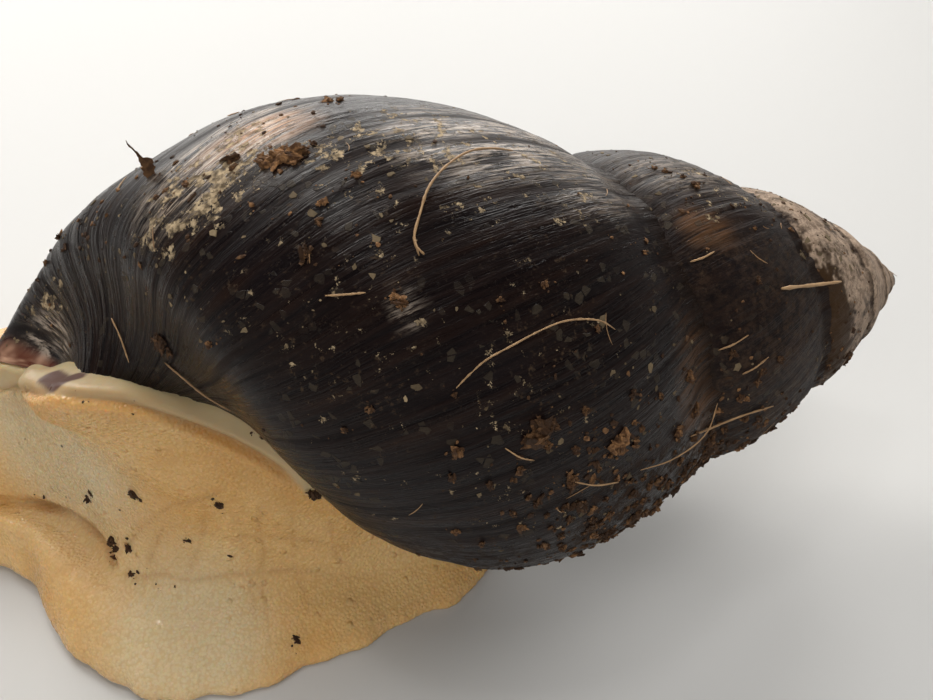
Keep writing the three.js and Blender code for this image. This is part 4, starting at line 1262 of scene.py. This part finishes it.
def add_flake(bits, at, normal, size, draw, tint):
    """A thin scrap with a ragged round outline, a little raised in the middle."""
    sides = int(draw.integers(5, 9))
    angles = np.sort(draw.uniform(0, 2 * math.pi, sides))
    angles = (angles + np.linspace(0, 2 * math.pi, sides, endpoint=False) * 1.6) / 2.6
    radii = size * draw.uniform(0.45, 1.2, sides)
    stretch = draw.uniform(0.6, 1.0)
    thick = draw.uniform(0.02, 0.05)
    lean = facing(normal + draw.normal(0, 0.04, 3), draw.uniform(0, 6.28))
    lean[2] /= np.linalg.norm(lean[2])
    rim = np.stack([radii * np.cos(angles), radii * np.sin(angles) * stretch, 0 * angles], -1)
    levels = [rim * 1.03 + (0, 0, -0.12), rim * 0.94 + (0, 0, thick), [[0, 0, thick + 0.01]]]
    faces = []
    for k in range(sides):
        m = (k + 1) % sides
        faces += [[k, m, sides + m, sides + k], [sides + k, sides + m, 2 * sides]]
    faces.append(list(range(sides))[::-1])
    bits.add(np.concatenate(levels) @ lean + at, faces, tint)


def add_fibre(bits, path, radius, draw, tint, sides=6):
    s = np.linspace(0, 1, len(path))
    thick = radius * (0.45 + 0.55 * np.minimum(1, 9 * np.minimum(s, 1 - s)))
    thick = thick * (1 + 0.15 * draw.normal(0, 1, len(path)))
    bits.add(*tube(path, thick, sides, np.array([0.3, 0.2, 0.93])), tint)


DIRT_SEED = 20
LOOSE_CRUMBS, FLAKES, HAIRS = 420, 1500, 34
# Small crumbs round a seen one: how many, their spread across and down the picture, smallest and
# largest size as a share of it, length and flatness.
SHELL_SCATTER = (3, 7, 6, 0.08, 0.2, 1.2)
BODY_SCATTER = (2, 5, 5, 0.1, 0.28, 1.3, 0.4)
# Scrap of dead leaf: where the camera sees its foot, its directions, length and thickness in mm,
# and its half width and bend over its length.
LEAF_PLACE = (150, 176)
LEAF_UP, LEAF_SIDE = np.array([-0.25, 0.35, 0.9]), np.array([-0.85, -0.1, -0.35])
LEAF_LENGTH, LEAF_THICK = 4.0, 0.16
LEAF_WIDTH = [(0, 0.5), (0.15, 0.9), (0.3, 0.55), (0.42, 0.75), (0.55, 0.22), (0.8, 0.12), (1, 0.04)]
LEAF_BEND = [(0, 0), (0.35, 0.1), (0.6, -0.25), (1, -0.75)]
# Crumbs on the shell as the camera sees them: across, down, size in mm, length against width, tint.
SHELL_CRUMBS = [
    (272, 162, 1.35, 1.7, 0.75), (292, 157, 1.5, 1.5, 0.65), (303, 152, 0.8, 1.2, 0.5),
    (261, 158, 0.8, 1.0, 0.4), (232, 159, 0.95, 1.5, 0.25), (233, 168, 0.6, 1.2, 0.4),
    (328, 101, 0.75, 1.5, 0.7), (340, 100, 0.6, 1.2, 0.6), (356, 175, 0.75, 1.1, 0.7),
    (322, 203, 0.65, 1.2, 0.8), (186, 184, 0.6, 1.4, 0.9), (166, 190, 0.5, 1.3, 0.6),
    (390, 197, 0.3, 1.0, 0.3), (252, 205, 0.45, 1.0, 0.8), (378, 245, 0.4, 1.0, 0.8),
    (160, 342, 1.1, 1.3, 0.05), (170, 352, 0.7, 1.2, 0.05), (210, 345, 0.65, 1.3, 0.6),
    (305, 255, 1.0, 1.4, 0.1), (458, 452, 0.9, 1.0, 0.45), (540, 432, 1.5, 1.5, 0.18),
    (553, 424, 0.9, 1.0, 0.1), (528, 440, 0.9, 1.0, 0.15), (548, 446, 0.7, 1.0, 0.4),
    (622, 437, 0.95, 1.9, 0.75), (616, 448, 1.0, 1.6, 0.65), (611, 456, 0.5, 1.0, 0.6),
    (634, 422, 0.5, 1.2, 0.45), (586, 438, 0.45, 1.2, 0.8), (572, 480, 1.0, 1.6, 0.55),
    (592, 480, 0.7, 1.0, 0.6), (617, 479, 0.6, 1.0, 0.7), (551, 492, 0.45, 1.0, 0.7),
    (594, 508, 0.6, 1.0, 0.6), (456, 531, 0.65, 1.3, 0.8), (562, 537, 0.5, 1.3, 0.7),
    (700, 166, 0.85, 1.6, 0.35), (695, 186, 0.8, 1.2, 0.25), (666, 172, 0.6, 1.0, 0.3),
    (655, 168, 0.5, 1.0, 0.6), (682, 177, 0.5, 1.0, 0.2), (646, 241, 0.45, 1.1, 0.8),
    (644, 252, 0.5, 1.0, 0.7), (628, 206, 0.3, 1.0, 0.9), (401, 304, 0.8, 1.6, 0.7),
    (394, 296, 0.5, 1.4, 0.8), (468, 178, 0.3, 1.0, 0.3), (612, 238, 0.3, 1.0, 0.6),
    (505, 322, 0.3, 1.0, 0.5), (370, 410, 0.6, 1.3, 0.2), (345, 430, 0.5, 1.2, 0.2),
    (500, 300, 0.5, 1.0, 0.2), (545, 285, 0.5, 1.4, 0.4), (590, 452, 0.3, 1.0, 0.5),
    (520, 470, 0.6, 1.2, 0.2), (640, 395, 0.4, 1.0, 0.3), (60, 237, 0.75, 1.0, 0.3),
    (46, 263, 0.6, 1.2, 0.2), (38, 280, 0.5, 1.0, 0.2), (102, 202, 0.4, 1.3, 0.6),
    (118, 190, 0.45, 1.5, 0.7), (137, 178, 0.4, 1.2, 0.6), (50, 305, 0.4, 1.0, 0.7),
    (52, 325, 0.35, 1.2, 0.8), (70, 345, 0.35, 1.4, 0.8), (455, 395, 0.5, 1.0, 0.2),
]
# Crumbs and smears on the body, all of them dark: across, down, size in mm, length against width.
BODY_CRUMBS = [
    (44, 497, 0.42, 1.0), (88, 499, 0.85, 1.0), (91, 494, 0.5, 1.3), (133, 494, 1.0, 1.2),
    (140, 500, 0.4, 1.2), (120, 510, 0.32, 1.0), (111, 542, 1.0, 1.3), (116, 548, 0.7, 1.2),
    (129, 549, 0.85, 1.1), (114, 558, 0.55, 1.0), (131, 574, 0.7, 1.4), (138, 572, 0.35, 1.3),
    (189, 541, 0.5, 1.2), (230, 556, 0.42, 1.7), (219, 505, 0.85, 1.4), (213, 499, 0.35, 1.0),
    (62, 446, 0.3, 1.0), (296, 640, 0.6, 1.6), (292, 646, 0.3, 1.0), (314, 494, 1.0, 2.0),
    (262, 437, 0.5, 1.2), (251, 433, 0.3, 1.0), (83, 402, 0.28, 1.0), (133, 414, 0.25, 1.0),
    (156, 584, 0.22, 1.0), (175, 586, 0.22, 1.0), (66, 497, 0.2, 1.2), (70, 498, 0.18, 1.2),
    (25, 439, 0.2, 2.0),
]
# Soil that clings in patches: turn, place across the whorl, spread of each, count, largest size.
SOIL_PATCHES = [
    (-0.585, 0.50, 0.035, 0.12, 90, 0.75), (-0.59, 0.28, 0.035, 0.14, 120, 0.95),
    (-0.57, 0.08, 0.04, 0.08, 90, 0.8), (-0.52, 0.50, 0.03, 0.15, 60, 0.6),
    (-0.50, 0.32, 0.03, 0.12, 60, 0.55), (-2.60, 0.50, 0.06, 0.22, 100, 0.5),
    (-1.58, 0.78, 0.05, 0.16, 110, 0.7), (-1.62, 0.45, 0.06, 0.25, 90, 0.6),
    (-0.64, 0.75, 0.06, 0.2, 70, 0.7), (-1.30, 0.40, 0.05, 0.3, 45, 0.45),
    (-2.25, 0.3, 0.06, 0.3, 50, 0.35), (-0.95, 0.5, 0.2, 0.4, 60, 0.5),
    (-0.2, 1.35, 0.05, 0.15, 40, 0.4), (-0.25, 1.0, 0.04, 0.25, 60, 0.4),
]
# Fibres lying on the shell: radius in mm, places with the height above the shell in mm, and tint.
SHELL_FIBRES = [
    (0.12, [(419, 256, 0), (414, 240, 0.25), (420, 214, 0.4), (428, 192, 0.5), (445, 171, 0.6),
            (468, 156, 0.5), (490, 152, 0.3), (512, 152, 0.1)], 0.55),
    (0.09, [(456, 388, 0), (468, 374, 0.3), (484, 360, 0.5), (510, 346, 0.6), (536, 332, 0.5),
            (560, 322, 0.4), (582, 320, 0.5), (600, 324, 0.4), (614, 330, 0.1)], 0.6),
    (0.10, [(326, 296, 0.15), (345, 295, 0.15), (366, 293, 0.1)], 0.7),
    (0.21, [(778, 290, 0.3), (792, 288, 0.3), (812, 286, 0.3), (836, 283, 0.5)], 0.75),
    (0.12, [(690, 436, 0), (712, 425, 0.3), (738, 414, 0.3), (772, 405, 0.1)], 0.35),
    (0.1, [(690, 262, 0), (702, 258, 0.2), (714, 252, 0)], 0.6),
    (0.1, [(718, 350, 0), (732, 344, 0.2), (748, 335, 0)], 0.3),
    (0.1, [(742, 374, 0), (752, 368, 0.2), (768, 357, 0)], 0.3),
    (0.11, [(414, 240, 0.25), (417, 250, 0.5), (424, 256, 0.3)], 0.5),
    (0.1, [(165, 362, 0), (186, 378, 0.15), (206, 394, 0.15), (232, 410, 0.1)], 0.35),
    (0.09, [(112, 318, 0), (122, 338, 0.1), (130, 362, 0.1)], 0.6),
    (0.08, [(640, 470, 0), (668, 455, 0.6), (700, 430, 0.8), (716, 404, 0.2)], 0.4),
    (0.08, [(505, 448, 0), (520, 456, 0.2), (534, 460, 0)], 0.7),
    (0.08, [(572, 480, 0.2), (592, 482, 0.5), (616, 480, 0.3)], 0.6),
]


def on_shell(turn, v):
    """Places on the ridged surface of the shell, and the directions out of it."""
    return zip(relief_points(turn, v)[0], shell_normals(turn, v))


def outside(turns, across, limit=-0.75, seen_to=0.97):
    """Keeps the random places that lie on the outside of the shell, not under a later whorl."""
    kept = (across < seen_to) | (turns > limit)
    return turns[kept], across[kept]


def add_seen_crumbs(bits, surface, rows, shrink, flat, scatter, draw):
    """Crumbs at places the camera sees, each with smaller ones scattered round it."""
    count, wide, tall, smallest, largest, *shape = scatter
    for across, down, size, long, tint in rows:
        at, normal = surface.under(across, down)
        if at is None:
            continue
        add_crumb(bits, at, normal, size * shrink, draw, tint, long, flat, 0.3)
        for _ in range(count):
            spot_at, way = surface.under(across + draw.normal(0, wide), down + draw.normal(0, tall))
            if spot_at is not None:
                add_crumb(bits, spot_at, way, size * draw.uniform(smallest, largest), draw, tint, *shape)


def add_soil_patches(bits, draw):
    for turn, v, wide, tall, count, largest in SOIL_PATCHES:
        turns = turn + draw.normal(0, wide, count)
        across = np.clip(v + draw.normal(0, tall, count), 0.02, 1.9)
        turns, across = outside(turns, across)
        for at, normal in on_shell(np.minimum(turns, -0.01), across):
            size = largest * draw.uniform(0.12, 1.0) ** 2.4 * 0.65 + 0.05
            tint = draw.uniform(0, 1) ** 3 * 0.6
            add_crumb(bits, at, normal, size, draw, tint, draw.uniform(0.9, 1.8), 0.6, 0.4)


def add_loose_crumbs(bits, draw):
    turns = -draw.uniform(0.02, 2.6, LOOSE_CRUMBS) ** 1.05
    for at, normal in on_shell(*outside(turns, draw.uniform(0.02, 1.55, LOOSE_CRUMBS))):
        size = draw.uniform(0.04, 0.17)
        add_crumb(bits, at, normal, size, draw, draw.uniform(0, 1), 1.3)


def add_flakes(bits, draw):
    """Flakes of the outer layer, more of them pale on the shoulder, a painted highlight where the light
    falls.
    """
    turns = -draw.uniform(0.01, 1, FLAKES) ** 1.1 * 2.4
    across = draw.uniform(0.02, 1.6, FLAKES)
    kept = (across < 0.97) | (turns > -0.72)
    kept &= noise(turns * 9, across * 3, 0, 95) > -0.12 + draw.normal(0, 0.15, FLAKES)
    turns, across = turns[kept], across[kept]
    # painted highlight: flakes drawn pale where the light falls on the shoulder
    sunlit = spot(turns + line_lag(turns, across), across, -0.2, 1.05, 0.07, 0.5)
    for (at, normal), sun in zip(on_shell(turns, across), sunlit):
        pale = draw.uniform(0, 1) < 0.06 + 0.5 * sun
        add_flake(bits, at, normal, 0.10 + 0.55 * draw.uniform(0, 1) ** 2.4, draw,
                  draw.uniform(0.35, 0.8) if pale else draw.uniform(0, 0.3))


def add_seen_fibres(bits, surface, draw):
    for radius, spots, tint in SHELL_FIBRES:
        hits = [surface.under(across, down) + (lift,) for across, down, lift in spots]
        path = [at + normal * (radius * 0.8 + lift) for at, normal, lift in hits if at is not None]
        if len(path) > 1:
            add_fibre(bits, catmull(path, 7), radius, draw, tint)


def add_hairs(bits, draw):
    """Short thin fibres scattered over the shell."""
    turns, across = -draw.uniform(0.02, 1.9, HAIRS), draw.uniform(0.1, 1.3, HAIRS)
    s = np.linspace(-0.5, 0.5, 7)[:, None]
    for at, normal in on_shell(*outside(turns, across, -0.8, 0.9)):
        axes = facing(normal, draw.uniform(0, 6.28))
        length = draw.uniform(0.8, 3.2)
        bend = draw.normal(0, 0.25)
        path = at + axes[0] * s * length + axes[1] * bend * (s * 2) ** 2 * length * 0.3
        path = path + normal * (0.06 - (s * length) ** 2 / 50)
        add_fibre(bits, path, draw.uniform(0.035, 0.06), draw, draw.uniform(0.0, 0.7), 5)


def add_leaf_scrap(bits, surface, draw):
    """Curled scrap of dead leaf standing on the shoulder of the last whorl."""
    root, normal = surface.under(*LEAF_PLACE)
    if root is None:
        return
    shares = np.linspace(0, 1, 21)
    width, bend = (np.interp(shares, *np.transpose(table)) for table in (LEAF_WIDTH, LEAF_BEND))
    lines = []
    for share, wide, bent in zip(shares, width, bend):
        centre = root + LEAF_UP * share * LEAF_LENGTH - LEAF_SIDE * bent * 1.6 - normal * 0.3
        line = []
        for out in (-1, -0.5, 0, 0.5, 1):
            aside = LEAF_SIDE * out * wide * draw.uniform(0.7, 1.2)
            line.append(centre + aside + LEAF_UP * 0.12 * draw.normal(0, 1) + normal * 0.25 * abs(out) * wide)
        lines.append(line)
    front = np.array(lines)
    rows, columns = front.shape[:2]
    half = rows * columns
    back = front + np.cross(LEAF_UP, LEAF_SIDE) * LEAF_THICK
    points = np.concatenate([front.reshape(-1, 3), back.reshape(-1, 3)])
    numbers = np.arange(half).reshape(rows, columns)
    rim = np.concatenate([numbers[:-1, 0], numbers[-1, :-1], numbers[:0:-1, -1], numbers[0, :0:-1]])
    faces = grid_faces(rows, columns).tolist() + grid_faces(rows, columns, half)[:, ::-1].tolist()
    faces += [[a, b, b + half, a + half] for a, b in zip(rim.tolist(), np.roll(rim, -1).tolist())]
    bits.add(points, faces, 0.25)


def make_dirt(shell_surface, skin_surface):
    draw = np.random.default_rng(DIRT_SEED)
    soil, flakes, fibres = Bits(), Bits(), Bits()
    add_seen_crumbs(soil, shell_surface, SHELL_CRUMBS, 0.62, 0.6, SHELL_SCATTER, draw)
    add_soil_patches(soil, draw)
    add_loose_crumbs(soil, draw)
    add_flakes(flakes, draw)
    dark_crumbs = [row + (0.0,) for row in BODY_CRUMBS]
    add_seen_crumbs(soil, skin_surface, dark_crumbs, 0.6, 0.35, BODY_SCATTER, draw)
    add_seen_fibres(fibres, shell_surface, draw)
    add_hairs(fibres, draw)
    add_leaf_scrap(soil, shell_surface, draw)
    soil.piece("soil_crumbs", soil_material(), False)
    flakes.piece("shell_flakes", flake_material(), False)
    fibres.piece("coir_fibres", fibre_material())


# ---- eyes ----------------------------------------------------------------------------------
def make_eye(name, sign):
    path = bowed_path(EYE_STALK, sign, 201)
    centre = path[int(EYE_SHARE * 200)] + on_side(EYE_OFFSET, sign)
    points, faces = ball(centre, np.full(3, EYE_RADIUS))
    return new_object(name, points, faces)


# ---- stage ---------------------------------------------------------------------------------
STAGE_MIDDLE = (0, 0, 0.02)
# Lights: name, place, aim and size in metres, watts, colour, and whether the shine shows them.
LIGHTS = [
    ("window", (-0.28, 0.42, 0.50), STAGE_MIDDLE, (0.30, 0.30), 3.0, (1.0, 0.97, 0.92), True),
    ("window_right", (0.18, 0.52, 0.50), STAGE_MIDDLE, (0.22, 0.22), 1.5, (1.0, 0.98, 0.95), True),
    ("back_strip", (-0.15, 1.05, 0.28), STAGE_MIDDLE, (1.4, 0.28), 7.6, (1.0, 0.98, 0.95), True),
    ("overhead", (-0.10, -0.02, 0.60), STAGE_MIDDLE, (0.07, 0.07), 0.3, (1.0, 0.98, 0.95), True),
    ("right_fill", (0.14, -0.03, 0.45), (0.10, -0.03, 0), (0.25, 0.25), 0.75, (1.0, 0.98, 0.95), False),
    ("front_fill", (-0.15, -0.65, 0.55), STAGE_MIDDLE, (0.8, 0.5), 3.0, (1.0, 0.97, 0.93), False),
]
# World light: height in the sky where it starts and stops to fade, and its strength at both.
SKY_FADE = (0.0, 0.62, 0.37, 0.05)
SKY_COLOUR = (1.0, 0.985, 0.95, 1)
FLOOR_HALF = 6.0


def make_camera():
    data = bpy.data.cameras.new("photo_camera")
    data.sensor_fit = "HORIZONTAL"
    data.angle = math.radians(CAMERA_WIDTH)
    data.clip_start = 0.001
    camera = bpy.data.objects.new("photo_camera", data)
    camera.location = Vector(place(CAMERA_PLACE))
    camera.rotation_euler = (math.radians(CAMERA_TILT), 0, 0)
    bpy.context.scene.collection.objects.link(camera)
    bpy.context.scene.camera = camera


def area_light(name, stands_at, aim, size, power, colour, mirrored):
    data = bpy.data.lights.new(name, "AREA")
    data.shape = "RECTANGLE"
    data.size, data.size_y = size
    data.energy = power
    data.color = colour
    light = bpy.data.objects.new(name, data)
    light.location = Vector(stands_at)
    light.rotation_euler = (Vector(aim) - Vector(stands_at)).to_track_quat("-Z", "Y").to_euler()
    light.visible_glossy = mirrored
    bpy.context.scene.collection.objects.link(light)


def make_world():
    """Pale low down all round, darker overhead."""
    world = bpy.data.worlds.new("studio")
    bpy.context.scene.world = world
    world.use_nodes = True
    tree = world.node_tree
    back = tree.nodes["Background"]
    where = tree.nodes.new("ShaderNodeTexCoord")
    parts = tree.nodes.new("ShaderNodeSeparateXYZ")
    tree.links.new(where.outputs["Generated"], parts.inputs[0])
    fall = tree.nodes.new("ShaderNodeMapRange")
    fall.interpolation_type = "SMOOTHSTEP"
    tree.links.new(parts.outputs[2], fall.inputs[0])
    for k, number in enumerate(SKY_FADE):
        fall.inputs[k + 1].default_value = number
    tree.links.new(fall.outputs[0], back.inputs["Strength"])
    back.inputs["Color"].default_value = SKY_COLOUR


def make_stage():
    work = bmesh.new()
    bmesh.ops.create_grid(work, x_segments=2, y_segments=2, size=FLOOR_HALF)
    mesh = bpy.data.meshes.new("floor")
    work.to_mesh(mesh)
    work.free()
    floor = bpy.data.objects.new("floor", mesh)
    bpy.context.scene.collection.objects.link(floor)
    mesh.materials.append(floor_material())
    make_world()
    for row in LIGHTS:
        area_light(*row)
    bpy.context.scene.view_settings.view_transform = "Standard"


# ---- everything ----------------------------------------------------------------------------
make_camera()
make_stage()

shell = make_shell()
shell.data.materials.append(shell_material())
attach(shell, "root")
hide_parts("shell")

skin = make_skin()
skin.data.materials.append(skin_material())
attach(skin, "root")
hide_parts("mantle", "neck", "trunk", "tail", "foot_middle", "foot_front", "head",
            "eye_stalk_left", "eye_stalk_right", "feeler_left", "feeler_right", "lip_left", "lip_right")

eye_finish = eye_material()
for side_name, side_sign in (("left", -1), ("right", 1)):
    eye = make_eye("eye_spot_" + side_name, side_sign)
    eye.data.materials.append(eye_finish)
    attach(eye, "root")
    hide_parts("eye_" + side_name)

make_dirt(Surface(shell), Surface(skin))
